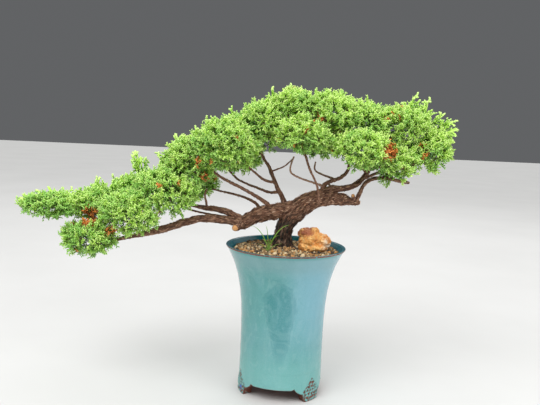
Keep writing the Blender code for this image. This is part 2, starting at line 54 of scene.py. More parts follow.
# Woody parts as routes of (x, y, z, radius), as in the CAD model.
TRUNK = (
    (-5, 18, 199, 13), (-5, 18, 216, 17), (-5, 17, 226, 16), (-5, 16, 240, 13.5), (-4, 15, 256, 13),
    (2, 14, 273, 13.5), (13, 13, 288, 14.5), (30, 11, 302, 14), (50, 9, 311, 12.5), (70, 6, 313, 10.5),
    (86, 4, 312, 8.5), (100, 2, 310, 5.5), (112, 0, 309, 4),
)
ROOTS = (
    ((-2, 16, 213, 8), (14, 6, 211, 6.5), (26, -6, 194, 5), (36, -14, 162, 3.5), (44, -20, 114, 2)),
    ((-8, 16, 213, 8), (-23, 6, 210, 6.5), (-36, -8, 192, 5), (-44, -20, 154, 3.5), (-46, -26, 104, 2)),
    ((-8, 20, 211, 8), (-21, 32, 205, 6.5), (-34, 42, 182, 5), (-32, 40, 134, 3), (-30, 40, 84, 2)),
    ((-2, 20, 211, 8), (12, 33, 204, 6.5), (28, 44, 178, 5), (30, 40, 124, 3), (30, 34, 74, 2)),
    ((-5, 18, 206, 13), (-5, 16, 179, 9), (-4, 10, 144, 6), (-2, 4, 104, 3)),
)
LIMBS = {
    "left_limb": (
        (10, 14, 292, 12.5), (-8, 13, 289, 12.5), (-27, 11, 286, 12), (-46, 8, 281, 11.5),
        (-62, 4, 272, 10.5), (-72, 1, 267, 9.5), (-80, -3, 265, 7),
    ),
    "left_pruned_stub": ((-73, -4, 267, 7), (-77, -12, 264, 5.8), (-80, -18, 263, 5.2)),
    "left_lower_branch": (
        (-72, 0, 270, 7), (-86, -2, 271, 6.5), (-104, -5, 273, 6), (-121, -8, 274, 5.8),
        (-136, -10, 274, 5.6), (-150, -13, 271, 5.7), (-167, -16, 265, 5.6), (-189, -20, 258, 5.5),
        (-212, -24, 251, 4.8), (-234, -27, 246, 3.8), (-257, -30, 240, 2.8), (-277, -36, 233, 2),
        (-292, -44, 236, 1.6),
    ),
    "left_tip_branch": (
        (-211, -23, 251, 2.8), (-236, -22, 262, 2.4), (-270, -26, 274, 2), (-312, -34, 282, 1.6),
        (-350, -40, 286, 1.3),
    ),
    "left_upper_branch": (
        (-70, 3, 273, 5.4), (-84, 3, 280, 5.2), (-98, 4, 285, 4.8), (-114, 6, 288, 4.3),
        (-131, 8, 289, 3.6), (-152, 10, 292, 2.9), (-172, 8, 297, 2.3), (-192, 0, 306, 1.8),
    ),
    "left_middle_twig": (
        (-84, 4, 279, 2.2), (-96, 12, 275, 1.8), (-114, 19, 276, 1.5), (-134, 24, 278, 1.4),
        (-158, 30, 282, 1.3), (-178, 34, 290, 1.2),
    ),
    "left_back_branch": (
        (-150, 11, 292, 2), (-170, 20, 294, 1.8), (-200, 28, 298, 1.5), (-236, 32, 302, 1.2),
    ),
    "left_upright_twig": (
        (-128, 8, 289, 1.8), (-129, 4, 299, 1.5), (-131, 0, 310, 1.3), (-128, -4, 320, 1.1),
    ),
    "leader": (
        (-4, 14, 297, 5), (-9, 16, 311, 3.9), (-16, 18, 322, 3.4), (-21, 20, 334, 3.1), (-27, 22, 346, 2.9),
        (-33, 24, 359, 2.5), (-42, 26, 372, 2.3), (-46, 24, 388, 2.1), (-42, 16, 406, 1.9),
        (-32, 8, 424, 1.7), (-12, 2, 438, 1.5),
    ),
    "leader_front_branch": (
        (-21, 20, 333, 2.2), (-33, 16, 335, 1.9), (-42, 12, 339, 1.7), (-52, 6, 347, 1.5),
        (-64, -2, 358, 1.4), (-78, -10, 374, 1.3),
    ),
    "leader_back_branch": (
        (-15, 18, 319, 2.3), (-27, 25, 316, 2), (-39, 33, 318, 1.8), (-52, 40, 322, 1.7),
        (-66, 46, 326, 1.6), (-84, 50, 334, 1.5), (-100, 48, 350, 1.3),
    ),
    "leader_right_twig": ((-29, 23, 350, 1.3), (-18, 16, 355, 1.1), (-7, 10, 361, 1), (6, 2, 374, 0.9)),
    "shoulder_branch": (
        (-27, 10, 294, 3.4), (-41, 4, 306, 2.7), (-54, -2, 314, 2.4), (-66, -8, 321, 2.2),
        (-79, -12, 328, 2.1), (-94, -16, 335, 2), (-110, -18, 344, 1.8), (-126, -16, 356, 1.5),
    ),
    "shoulder_back_branch": (
        (-42, 14, 286, 2.8), (-50, 23, 297, 2.2), (-62, 30, 303, 1.9), (-77, 37, 307, 1.7),
        (-94, 43, 310, 1.6), (-112, 46, 313, 1.4), (-134, 46, 318, 1.2),
    ),
    "right_rising_branch": (
        (46, 9, 316, 7), (64, 9, 326, 6), (80, 10, 328, 5), (93, 12, 330, 4.6), (106, 14, 335, 4.3),
        (117, 18, 344, 4), (125, 20, 355, 3.5), (128, 20, 363, 3),
    ),
    "right_low_branch": (
        (106, 0, 309, 3.6), (112, 1, 322, 3.2), (118, 3, 336, 3), (126, 4, 344, 3), (137, 4, 348, 3),
        (153, 2, 349, 2.8), (171, -2, 346, 2.6), (187, -6, 344, 2.4),
    ),
    "right_pruned_stub": ((104, 1, 311, 3.6), (102, -5, 317, 3), (101, -9, 320, 2.8)),
    "right_upright_branch": (
        (54, 6, 320, 3.4), (56, 9, 332, 3), (66, 14, 339, 2.8), (83, 22, 345, 2.6), (94, 29, 355, 2.4),
        (97, 33, 366, 2.2), (92, 34, 378, 2), (80, 28, 396, 1.7), (66, 12, 418, 1.5),
    ),
    "right_left_twig": (
        (74, 18, 342, 1.9), (62, 24, 346, 1.5), (50, 30, 350, 1.4), (42, 34, 356, 1.2), (43, 36, 368, 1.1),
    ),
    "thin_pale_branch": (
        (56, 8, 331, 1.9), (46, 4, 335, 1.5), (36, 0, 338, 1.4), (20, -6, 343, 1.3), (5, -12, 350, 1.2),
        (1, -14, 356, 1.2), (2, -12, 365, 1.1), (6, -8, 377, 1),
    ),
    "hanging_twig": (
        (78, 27, 398, 1.7), (56, 6, 408, 1.6), (30, -16, 402, 1.6), (16, -28, 392, 1.5),
        (23, -34, 379, 1.5), (30, -38, 360, 1.5), (39, -36, 343, 1.4), (44, -32, 329, 1.4),
        (48, -26, 306, 1.3),
    ),
    "loop_twig": ((64, 10, 335, 1.6), (66, -1, 332, 1.2), (66, -7, 324, 1.1), (62, -9, 314, 1)),
    "right_inner_branch": (
        (125, 20, 355, 2.8), (116, 14, 363, 2.4), (105, 8, 371, 2.2), (98, 2, 381, 2), (95, -4, 394, 1.7),
        (92, -8, 410, 1.4),
    ),
    "right_inner_stub": ((106, 9, 370, 2.4), (106, 2, 365, 2), (107, -3, 363, 1.9)),
    "right_inner_twig": ((106, 9, 371, 1.6), (116, 4, 380, 1.3), (125, 0, 388, 1.1), (134, -6, 398, 1)),
    "right_outer_branch": (
        (127, 20, 360, 2.6), (138, 13, 365, 2.2), (152, 6, 367, 2), (167, 0, 364, 1.8), (182, -5, 368, 1.6),
        (198, -4, 380, 1.3),
    ),
    "right_back_branch": (
        (117, 19, 344, 2.6), (127, 27, 348, 2.2), (146, 36, 356, 1.9), (168, 38, 370, 1.6),
        (186, 32, 388, 1.3),
    ),
}
SOLID_WOOD = (
    "left_limb", "left_pruned_stub", "left_lower_branch", "left_upper_branch", "leader",
    "right_rising_branch", "right_low_branch", "right_pruned_stub", "right_inner_branch", "right_inner_stub",
)
WOOD_VOXEL = 0.8 * MM
STONE_VOXEL = 0.6 * MM
BARK_FROM = 208
FLARE_TO = 254
OLD_BARK_TO = 295
FLAKES_FROM = 232
BARK_FLAKES = 2600
BRANCH_RINGS = (1.4, 12)  # spacing and corners
BRANCH_FLAKES = 0.9  # for each ring of a branch

BARK_COLOURS = ((0.04, 0.017, 0.01), (0.15, 0.065, 0.036), (0.34, 0.175, 0.105), (0.48, 0.285, 0.18))
TWIG_COLOURS = ((0.07, 0.029, 0.016), (0.21, 0.098, 0.056), (0.44, 0.25, 0.155))
PALE_COLOURS = ((0.14, 0.066, 0.04), (0.34, 0.19, 0.125), (0.56, 0.38, 0.27))
FINE_COLOURS = ((0.05, 0.022, 0.013), (0.125, 0.06, 0.034), (0.24, 0.13, 0.08))

# Pruning cuts: the centre, the way the cut faces and its radius.
CUTS = (
    ((-80.4, -18.6, 262.8), (-0.25, -0.95, -0.15), 5.2),
    ((100.8, -9.4, 320.5), (-0.2, -0.85, 0.5), 2.7),
    ((107.3, -3.4, 362.7), (0.1, -0.9, -0.4), 1.9),
    ((187.6, -6.1, 344), (1, -0.25, -0.1), 2.3),
    ((113, 0, 309), (1, -0.15, -0.1), 3.6),
)

# Foliage: tufts of sprays on each CAD mass, and single sprays that stand out of the outline.
TUFT_TRIES = 1800
TUFT_SPACING = 12
TUFT_DEPTH = 9
TUFT_SPRAYS = 11
SPRAY_LENGTH = 13
SPRAY_ARMS = 6
SPRAY_KINDS = 16
FILL_SPRAYS = 90
LONE_SPRAYS = (
    ((-369, -42, 289), (-404, -45, 297)), ((-347, -30, 296), (-382, -33, 306)),
    ((-320, -52, 248), (-338, -55, 248)), ((-294, -50, 225), (-303, -53, 216)),
    ((-233, -5, 339), (-244, -8, 373)), ((-201, 10, 336), (-203, 7, 365)), ((-31, 5, 454), (-30, 2, 481)),
    ((36, -10, 465), (37, -13, 483)), ((188, 10, 451), (187, 7, 480)), ((205, 0, 445), (207, -3, 473)),
    ((216, 5, 436), (236, 2, 454)), ((231, 0, 431), (254, -3, 443)), ((230, -5, 422), (257, -8, 427)),
    ((229, 0, 397), (249, -3, 385)), ((215, -5, 375), (231, -8, 363)), ((-299, 10, 302), (-297, 7, 331)),
    ((-276, 0, 309), (-271, -3, 336)), ((-265, 15, 311), (-262, 12, 335)),
    ((-347, 0, 286), (-343, -3, 309)), ((-183, -10, 364), (-206, -13, 371)),
    ((-167, 10, 376), (-179, 7, 404)), ((-150, 20, 392), (-153, 17, 417)), ((177, 15, 441), (174, 12, 461)),
    ((92, 20, 456), (94, 17, 473)), ((-131, 15, 409), (-127, 12, 433)), ((-93, 5, 429), (-95, 2, 449)),
    ((-4, 10, 464), (-11, 7, 485)),
)
DEAD_PLACES = (
    ((40, -30, 434), 16), ((146, -40, 396), 20), ((205, -20, 389), 14), ((178, -20, 372), 12),
    ((-300, -40, 276), 18), ((-262, -60, 259), 12), ((-140, -40, 366), 12), ((-128, -30, 340), 10),
    ((18, -60, 422), 12), ((12, -20, 390), 14), ((-80, -60, 406), 10),
)
TINT_DEAD = 0.95

# Where the photograph shows bare wood under the foliage: low and high corners.
BARE_PLACES = (((62, -90, 320), (140, 60, 364)), ((125, -90, 320), (193, -4, 353)))

PALE_WOOD = ("thin_pale_branch", "right_outer_branch", "right_inner_branch", "right_left_twig")

# The pot, in millimetres and degrees: angle 0 is the front, and it grows towards +X.
POT_COLUMNS = 540
WALL = 5.5
INSIDE_HEIGHTS = (232, 229, 226, 222, 216, 206, 194, 180, 164, 144, 120, 96, 72, 50, 38)
FOOT_ANGLES = (48, 168, 288)
ARCH_HALF_ANGLE = 47
APRON_HEIGHT = 21.5
ARCH_OUTLINE = (
    (0, 0.3, 0.58, 0.66, 0.72, 0.8, 0.9, 0.96, 0.985, 1.0),
    (1.0, 0.99, 0.97, 1.06, 0.84, 0.7, 0.58, 0.46, 0.25, 0),
)
PIT_PITCH = 6.6
PIT_REACH = 3.3
PIT_DEPTH = 2.0
# The rim's outline as a route: radius, 0, height, 0.
LIP = (
    (93.0, 0, 232.8, 0), (94.2, 0, 234.2, 0), (94.75, 0, 234.9, 0), (94.6, 0, 235.5, 0), (93.6, 0, 235.95, 0),
    (92.2, 0, 236, 0), (90.9, 0, 235.9, 0), (89.9, 0, 235.4, 0), (89.1, 0, 234.5, 0), (88.4, 0, 233.4, 0),
)
# The pot's floor from the inside round the drain hole to the underside: radius, height, bare clay.
POT_FLOOR = (
    (60, 33.5, 0), (58.4, 32.3, 0), (56, 32, 0), (30, 32, 0), (10.4, 32, 0), (9.2, 31.2, 0), (9, 28, 1),
    (9.2, 24.8, 1), (10.4, 24, 1), (30, 24, 1), (48, 24, 1), (51, 24, 1), (52, 23.4, 1),
)
BLUE_SPOT = (-62, -24, 8)

# The stone as overlapping lumps: centre and half sizes.
STONE_LUMPS = (
    ((42, 6, 246), (20, 16, 14)), ((31, 6, 255.5), (12, 11, 8)), ((60, 5, 243), (11, 13, 12)),
    ((31, 3, 234), (11, 12, 8.5)), ((48, 3, 234), (19, 15, 8)), ((44, 8, 258), (9, 9, 6)),
    ((29, 9, 245), (8, 12, 8)),
)

# The camera, from the pot's axis, and the lights: offset from the pot in metres, size and power.
CAMERA_PLACE = (-28, -1018, 426)
CAMERA_LENS = 43.33
CAMERA_PITCH = 6.9
CAMERA_ROLL = 2.5
FLOOR_REACH = 9
LIGHTS = (
    ("key", (-1.0, -1.4, 1.8), (1.5, 1.5), 38),
    ("fill", (1.8, -1.3, 0.9), (1.4, 1.6), 19),
    ("back", (0.4, 1.9, 1.7), (2.0, 1.2), 14),
)

GRIT_SPREAD = 84
GRAINS = 2300
GRAIN_FORMS = 24
GRAIN_SIZES = (1.05, 3.6)
GRASS_FOOT = (-27.5, -20, 228.5)
GRASS_BLADES = (
    ((-30, 3, 39), 1.6), ((-6, -3, 41), 1.3), ((33, 6, 42), 1.6), ((16, -9, 27), 1.1), ((-18, -8, 12), 1.0),
    ((-11, 9, 18), 1.1), ((9, -12, 10), 0.9), ((5, 6, 22), 1.0), ((-10, -11, 5), 0.9), ((21, 4, 12), 0.9),
)


def place(point):
    """A point given in millimetres from the pot's axis, in the row frame."""
    return AXIS + Vector(point[:3]) * MM


# ---------------------------------------------------------------- meshes


def linked(name, data):
    """A new object in the scene."""
    made = bpy.data.objects.new(name, data)
    bpy.context.scene.collection.objects.link(made)
    return made


def in_mm(points):
    """Points of the row frame in millimetres from the pot's axis."""
    return (np.asarray(points) - np.array(AXIS)) / MM


def mesh_piece(name, points, faces, value=None, key="uv", smooth=True, **values):
    """An object from points in millimetres from the pot's axis, with values given per point by key."""
    if value is not None:
        values[key] = value
    points = np.asarray(np.asarray(points) * MM + np.array(AXIS), np.float32)
    faces = np.asarray(faces, np.int32)
    count, width = faces.shape
    mesh = bpy.data.meshes.new(name)
    mesh.vertices.add(len(points))
    mesh.vertices.foreach_set("co", points.ravel())
    mesh.loops.add(count * width)
    mesh.loops.foreach_set("vertex_index", faces.ravel())
    mesh.polygons.add(count)
    mesh.polygons.foreach_set("loop_start", np.arange(0, count * width, width, dtype=np.int32))
    mesh.update(calc_edges=True)
    mesh.polygons.foreach_set("use_smooth", np.full(count, smooth))
    for key, value in values.items():
        value = np.asarray(value, np.float32)
        if key == "uv":
            mesh.uv_layers.new(name="OFBake").uv.foreach_set("vector", value[faces].ravel())
        else:
            kind, field = ("FLOAT_VECTOR", "vector") if value.ndim == 2 else ("FLOAT", "value")
            mesh.attributes.new(key, kind, "POINT").data.foreach_set(field, value.ravel())
    return linked(name, mesh)


def settle(piece, slot, material, *nodes):
    """Hand a finished piece to the frame."""
    piece.data.materials.append(material)
    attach(piece, "root")
    if nodes:
        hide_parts(*nodes)


def grid_faces(rows, columns, close_rows=False):
    """Triangles between rings of points; close_rows joins the last ring to the first."""
    across = np.arange(columns)
    after = (across + 1) % columns
    lower = np.arange(rows if close_rows else rows - 1)
    start = lower[:, None] * columns
    above = ((lower + 1) % rows)[:, None] * columns
    quads = np.stack([start + across, start + after, above + after, above + across], -1).reshape(-1, 4)
    return np.concatenate([quads[:, (0, 1, 2)], quads[:, (0, 2, 3)]])


def capped_faces(rows, columns):
    """Triangles between rings of points, closed by two last points: a pole at each end."""
    ring = np.arange(columns)
    after = (ring + 1) % columns
    count = rows * columns
    last = count - columns
    return np.concatenate([
        grid_faces(rows, columns),
        np.stack([np.full(columns, count), after, ring], -1),
        np.stack([np.full(columns, count + 1), last + ring, last + after], -1),
    ])


def around(count):
    """Angles of a full turn."""
    return np.linspace(0, 2 * np.pi, count, endpoint=False)


def joined(parts):
    """Several (points, faces, ...per-point arrays) as one."""
    offset = 0
    gathered = []
    for points, faces, *rest in parts:
        gathered.append((points, faces + offset, *rest))
        offset += len(points)
    return [np.concatenate(column) for column in zip(*gathered)]


def unit(vectors):
    return vectors / np.linalg.norm(vectors, axis=-1, keepdims=True)


def smooth_route(points, spacing):
    """Places and radii in millimetres along a smooth curve through a route."""
    route = np.array(points, float)
    result = []
    for i in range(len(route) - 1):
        before, start = route[max(i - 1, 0)], route[i]
        end, after = route[i + 1], route[min(i + 2, len(route) - 1)]
        steps = max(1, round(float(np.linalg.norm(end[:3] - start[:3])) / spacing))
        t = (np.arange(steps) / steps)[:, None]
        curve = 0.5 * (
            2 * start + (end - before) * t
            + (2 * before - 5 * start + 4 * end - after) * t ** 2
            + (3 * start - before - 3 * end + after) * t ** 3
        )
        curve[:, 3] = start[3] + (end[3] - start[3]) * t[:, 0]
        result.append(curve)
    result.append(route[-1:])
    return np.concatenate(result)


def axes_along(route):
    """The way ahead, two axes across it and the distance covered, at each point of a route."""
    places = route[:, :3]
    ahead = unit(np.gradient(places, axis=0))
    across = np.zeros_like(ahead)
    lean = np.array((0.3, -1, 0.2))
    for i, way in enumerate(ahead):
        lean = unit(lean - way * lean.dot(way))
        across[i] = lean
    covered = np.concatenate([[0], np.cumsum(np.linalg.norm(np.diff(places, axis=0), axis=1))])
    return ahead, across, np.cross(ahead, across), covered


def tube_arrays(route, sides, uneven=0.0):
    """A closed tube's points in millimetres, its triangles and the bark's grain at each point."""
    places, radii = route[:, :3], route[:, 3:4]
    ahead, across, other, covered = axes_along(route)
    circle = np.stack([np.cos(around(sides)), np.sin(around(sides))], -1)
    wobble = np.ones((len(route), sides))
    if uneven:
        for i, j in np.ndindex(wobble.shape):
            spot = Vector((*circle[j], covered[i] * 0.22)) * 1.3
            wobble[i, j] = 1 + uneven * noise.noise(spot + Vector(places[0]) * 0.37)
    flat = circle[None] * (radii * wobble)[..., None]
    shell = places[:, None] + across[:, None] * flat[..., :1] + other[:, None] * flat[..., 1:]
    poles = [places[0] - ahead[0] * radii[0] * 0.4, places[-1] + ahead[-1] * radii[-1] * 0.4]
    depth = np.broadcast_to(covered[:, None, None], (*wobble.shape, 1))
    grain = np.concatenate([flat, depth], -1).reshape(-1, 3)
    grain = np.concatenate([grain, [[0, 0, covered[0]], [0, 0, covered[-1]]]])
    return np.concatenate([shell.reshape(-1, 3), poles]), capped_faces(*wobble.shape), grain


def read(items, field, width, kind):
    """One field of a mesh's items as an array."""
    values = np.empty(len(items) * width, kind)
    items.foreach_get(field, values)
    return values.reshape(-1, width)


def remeshed(piece, voxel, smoothing):
    """A closed mesh made even and smooth: its points in millimetres and quads. The piece is used up."""
    step = piece.modifiers.new("even", "REMESH")
    step.mode, step.voxel_size = "VOXEL", voxel
    soften = piece.modifiers.new("soften", "SMOOTH")
    soften.factor, soften.iterations = 0.5, smoothing
    mesh = piece.evaluated_get(bpy.context.evaluated_depsgraph_get()).to_mesh()
    points = read(mesh.vertices, "co", 3, np.float32)
    quads = read(mesh.loops, "vertex_index", 1, np.int32).reshape(-1, 4)
    bpy.data.objects.remove(piece)
    return in_mm(points), quads


def normals_of(points, faces):
    """The smooth normal at each point."""
    first, second, third = (points[faces[:, i]] for i in range(3))
    flat = np.cross(second - first, third - first)
    result = np.zeros_like(points)
    for i in range(faces.shape[1]):
        np.add.at(result, faces[:, i], flat)
    return unit(result + 1e-12)


def noise_at(places, scale, shift=0.0):
    """Perlin noise at an array of places."""
    offset = Vector((shift, shift * 0.7, -shift))
    return np.array([noise.noise(Vector(place) * scale + offset) for place in places])


def node_arrays(name):
    """A CAD node's points in metres and its triangles."""
    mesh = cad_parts[name].data
    mesh.calc_loop_triangles()
    return read(mesh.vertices, "co", 3, np.float32), read(mesh.loop_triangles, "vertices", 3, np.int32)


def tree_of(points, faces):
    return BVHTree.FromPolygons([Vector(point) for point in points], [tuple(face) for face in faces])


# ---------------------------------------------------------------- materials


def reckoned(operation, swapped=False):
    """A method that puts a signal and another value through a math node."""
    def method(self, other=0.0):
        return self.nodes.math(operation, *((other, self) if swapped else (self, other)))
    return method


class Signal:
    """A node's output that takes part in sums."""

    def __init__(self, nodes, socket):
        self.nodes, self.socket = nodes, socket

    __add__ = __radd__ = reckoned("ADD")
    __mul__ = __rmul__ = reckoned("MULTIPLY")
    __sub__, __rsub__ = reckoned("SUBTRACT"), reckoned("SUBTRACT", swapped=True)
    __truediv__, __pow__, __abs__ = reckoned("DIVIDE"), reckoned("POWER"), reckoned("ABSOLUTE")


class Nodes:
    """The node tree of a new material or of the world, with short ways to add to it."""

    def __init__(self, name, world=None):
        self.owner = world or bpy.data.materials.new(name)
        self.owner.use_nodes = True
        self.tree = self.owner.node_tree
        self.shader = self.tree.nodes["Background" if world else "Principled BSDF"]

    def feed(self, node, inputs):
        """Set a node's inputs to values, or link signals to them."""
        for key, value in inputs.items():
            if isinstance(value, Signal):
                self.tree.links.new(value.socket, node.inputs[key])
            else:
                node.inputs[key].default_value = value

    def add(self, kind, inputs, output=0, **settings):
        """One output of a new node."""
        node = self.tree.nodes.new(kind)
        for key, value in settings.items():
            setattr(node, key, value)
        self.feed(node, inputs)
        return Signal(self, node.outputs[output])

    def math(self, operation, *values):
        return self.add("ShaderNodeMath", dict(enumerate(values)), operation=operation)

    def place(self, kind="Object"):
        return self.add("ShaderNodeTexCoord", {}, kind)

    def attribute(self, name, output="Fac"):
        return self.add("ShaderNodeAttribute", {}, output, attribute_name=name)

    def parts(self, vector):
        """The X, Y and Z of a vector."""
        node = self.add("ShaderNodeSeparateXYZ", {0: vector}).socket.node
        return [Signal(self, output) for output in node.outputs]

    def mapped(self):
        """Both coordinates of the piece's own map."""
        return self.parts(self.add("ShaderNodeUVMap", {}, uv_map="OFBake"))[:2]

    def scaled(self, vector, scale, shift=(0, 0, 0)):
        return self.add("ShaderNodeMapping", {"Vector": vector, "Scale": scale, "Location": shift})

    def noise(self, vector, scale, detail=3.0, roughness=0.55, distortion=0.0):
        inputs = {"Vector": vector, "Scale": scale, "Detail": detail, "Roughness": roughness}
        return self.add("ShaderNodeTexNoise", {**inputs, "Distortion": distortion}, "Fac")

    def cells(self, vector, scale, output="Distance", feature="F1"):
        return self.add("ShaderNodeTexVoronoi", {"Vector": vector, "Scale": scale}, output, feature=feature)

    def ramp(self, level, *stops):
        """A colour for each level, from stops of (level, colour)."""
        ramp = self.add("ShaderNodeValToRGB", {0: level})
        elements = ramp.socket.node.color_ramp.elements
        while len(elements) < len(stops):
            elements.new(0.5)
        for element, (position, colour) in zip(elements, stops):
            element.position, element.color = position, (*colour, 1)
        return ramp

    def layers(self, colour, *layers, blend="MIX"):
        """A colour with others laid over it in turn, from layers of (mask, colour)."""
        for mask, over in layers:
            pair = [value if isinstance(value, Signal) else (*value, 1) for value in (colour, over)]
            inputs = {"Factor": mask, 6: pair[0], 7: pair[1]}
            colour = self.add("ShaderNodeMix", inputs, 2, data_type="RGBA", blend_type=blend)
        return colour

    def between(self, value, low, high):
        """0 at low, 1 at high, smooth in between."""
        inputs = {"Value": value, "From Min": low, "From Max": high}
        return self.add("ShaderNodeMapRange", inputs, interpolation_type="SMOOTHSTEP")

    def paint(self, colour, roughness, bump=None, distance=0.0, strength=1.0, **others):
        """Give the shader its colour, roughness and bump, and return the material."""
        self.feed(self.shader, {"Base Color": colour, "Roughness": roughness})
        for name, value in others.items():
            self.shader.inputs[name.replace("_", " ")].default_value = value
        if bump:
            inputs = {"Height": bump, "Distance": distance, "Strength": strength}
            self.feed(self.shader, {"Normal": self.add("ShaderNodeBump", inputs)})
        return self.owner


def glaze_material():
    """Turquoise glaze: vertical runs, a darker pool on the front, and clay where it breaks."""
    n = Nodes("glaze")
    spot = n.place()
    across, behind, height = n.parts(spot)
    across, behind = across - AXIS.x, behind - AXIS.y
    runs = n.noise(n.scaled(spot, (1, 1, 0.16)), 48, 4, 0.6)
    clouds = n.noise(n.scaled(spot, (1, 1, 0.6)), 19, 5, 0.6, 0.8)
    swirls = n.noise(n.scaled(spot, (1, 1, 0.8), (0.4, 0.2, 0.7)), 42, 3, 0.5, 1.8)
    # a drop-shaped pool of darker glaze on the front, with a thin darker outline
    level = (height - 0.133) / 0.053
    side = (across + 0.0038) / (0.0215 + level * 0.0085)
    level = n.math("MAXIMUM", level, level * 0.62)
    ragged = (clouds - 0.5) + (runs - 0.5) * 0.6
    away = abs(level) ** 3.0 + side * side + ragged * 1.7
    front = n.between(behind, -0.02, -0.05) * n.between(level, -1.05, -0.25)
    pool = n.between(away, 1.25, 0.50) * front * (n.between(swirls, 0.66, 0.42) * 0.35 + 0.65)
    outline = n.between(away, 0.86, 1.0) * n.between(away, 1.18, 1.02) * front
    crackle = n.cells(n.scaled(spot, (1, 1, 0.8)), 190, feature="DISTANCE_TO_EDGE")
    bare = n.attribute("bare") * n.between(n.noise(spot, 260), 0.26, 0.44)
    clay = n.noise(spot, 420, 4)
    clay = n.ramp(clay, (0.3, (0.08, 0.018, 0.012)), (0.55, (0.2, 0.06, 0.036)), (0.75, (0.3, 0.12, 0.07)))
    colour = n.ramp(
        clouds, (0.30, (0.088, 0.292, 0.292)), (0.45, (0.11, 0.33, 0.33)),
        (0.58, (0.13, 0.345, 0.358)), (0.74, (0.165, 0.38, 0.405)),
    )
    colour = n.layers(
        colour,
        (n.between(runs, 0.50, 0.72) * 0.26, (0.27, 0.47, 0.47)),
        (n.between(runs, 0.46, 0.30) * 0.30, (0.065, 0.25, 0.245)),
        (n.between(swirls, 0.54, 0.62) * 0.22, (0.25, 0.45, 0.46)),
        # bluer and paler on the upper right, greener towards the foot
        (n.between(height, 0.03, 0.17) * n.between(across, -0.02, 0.05) * 0.70, (0.235, 0.47, 0.59)),
        (n.between(height, 0.10, 0.03) * 0.50, (0.2, 0.5, 0.455)),
        (pool * 0.64, (0.024, 0.2, 0.22)),
        (outline * 0.20, (0.03, 0.18, 0.205)),
        (n.between(n.noise(spot, 620, 2), 0.45, 0.70) * 0.14, (0.33, 0.5, 0.5)),
        # a pale milky band under the lip, partly a painted highlight; deep teal inside and on the lip, where
        # on the lip top it is also a painted dark reflection
        (n.between(height, 0.192, 0.222) * 0.50, (0.245, 0.4, 0.425)),
        (n.between(height, 0.228, 0.233) * 0.7, (0.075, 0.34, 0.32)),
        (n.attribute("teal"), (0.003, 0.105, 0.14)),
        (n.between(crackle, 0.035, 0.008) * 0.16, (0.1, 0.26, 0.27)),
        (bare, clay),
        (n.attribute("spot"), (0.07, 0.16, 0.5)),
    )
    bump = n.noise(spot, 34, 2) + bare * 0.25
    return n.paint(colour, bare * 0.42 + (runs * 0.06 + 0.07), bump, 0.0016, 0.30, Specular_IOR_Level=0.42)


def bark_material(name, dark, middle, light, flake):
    """Stringy bark: fibres run along the limb, with paler flakes standing off it."""
    n = Nodes(name)
    grain = n.attribute("grain", "Vector")
    strings = n.noise(n.scaled(grain, (1, 1, 0.10)), 1.15, 5, 0.62)
    flakes = n.noise(n.scaled(grain, (1, 1, 0.24)), 0.42, 3, 0.6, 0.8)
    moss = n.layers(
        (0.005, 0.004, 0.003), (n.between(flakes, 0.45, 0.62), (0.027, 0.022, 0.012)),
        (n.between(strings, 0.46, 0.66) * 0.4, (0.062, 0.049, 0.029)),
    )
    colour = n.layers(
        n.ramp(strings, (0.32, dark), (0.50, middle), (0.68, light)),
        (n.between(flakes, 0.52, 0.66) * n.between(strings, 0.42, 0.60) * 0.65, flake),
        (n.attribute("old"), moss),
        (n.attribute("plate") * n.between(strings, 0.35, 0.55) * 0.55, flake),
        (n.attribute("crack") * 0.75, (0.02, 0.01, 0.007)),
    )
    return n.paint(colour, 1.0 - strings * 0.30, strings + flakes * 0.7, 0.0011, 0.9)


def cut_material():
    """A pruning cut: pale orange end grain with growth rings and a darker rim."""
    n = Nodes("cut_wood")
    across = n.attribute("across")
    rings = n.math("SINE", (across + n.noise(n.place(), 260) * 0.22) * 34)
    wood = n.ramp(rings * 0.5 + 0.5, (0.1, (0.6, 0.27, 0.09)), (0.9, (0.8, 0.44, 0.19)))
    wood = n.layers(wood, (n.between(across, 0.72, 0.98), (0.2, 0.09, 0.045)))
    return n.paint(wood, 0.75, rings, 0.0002, 0.5)


def foliage_material():
    """Scale-leaf sprays. Each spray's tint, which carries painted light and shade besides its own tone, lies
    across the map, and base to tip lies up it.
    """
    n = Nodes("foliage")
    tint, along = n.mapped()
    deep = n.ramp(
        along, (0.0, (0.08, 0.1, 0.018)), (0.30, (0.145, 0.29, 0.04)),
        (0.62, (0.27, 0.56, 0.088)), (0.92, (0.41, 0.78, 0.185)),
    )
    bright = n.ramp(
        along, (0.0, (0.14, 0.195, 0.025)), (0.28, (0.34, 0.61, 0.065)),
        (0.58, (0.57, 0.88, 0.13)), (0.88, (0.76, 0.99, 0.32)),
    )
    dead = n.ramp(along, (0.0, (0.14, 0.05, 0.018)), (0.4, (0.56, 0.17, 0.035)), (0.9, (0.95, 0.36, 0.085)))
    colour = n.layers(deep, (n.between(tint, 0.05, 0.85), bright), (n.between(tint, 0.90, 0.92), dead))
    return n.paint(colour, 0.52, Specular_IOR_Level=0.35)


def flake_material():
    """Loose bark: each sliver's tone, from nearly black through red-brown to pale tan."""
    n = Nodes("bark_flakes")
    fibres = n.noise(n.place(), 900)
    colour = n.ramp(
        n.attribute("tone") + (fibres - 0.5) * 0.5, (0, (0.035, 0.016, 0.01)), (0.25, (0.13, 0.055, 0.03)),
        (0.50, (0.29, 0.135, 0.075)), (0.75, (0.47, 0.26, 0.155)), (0.95, (0.64, 0.43, 0.3)),
    )
    return n.paint(colour, 0.9, fibres, 0.0003, 0.6)


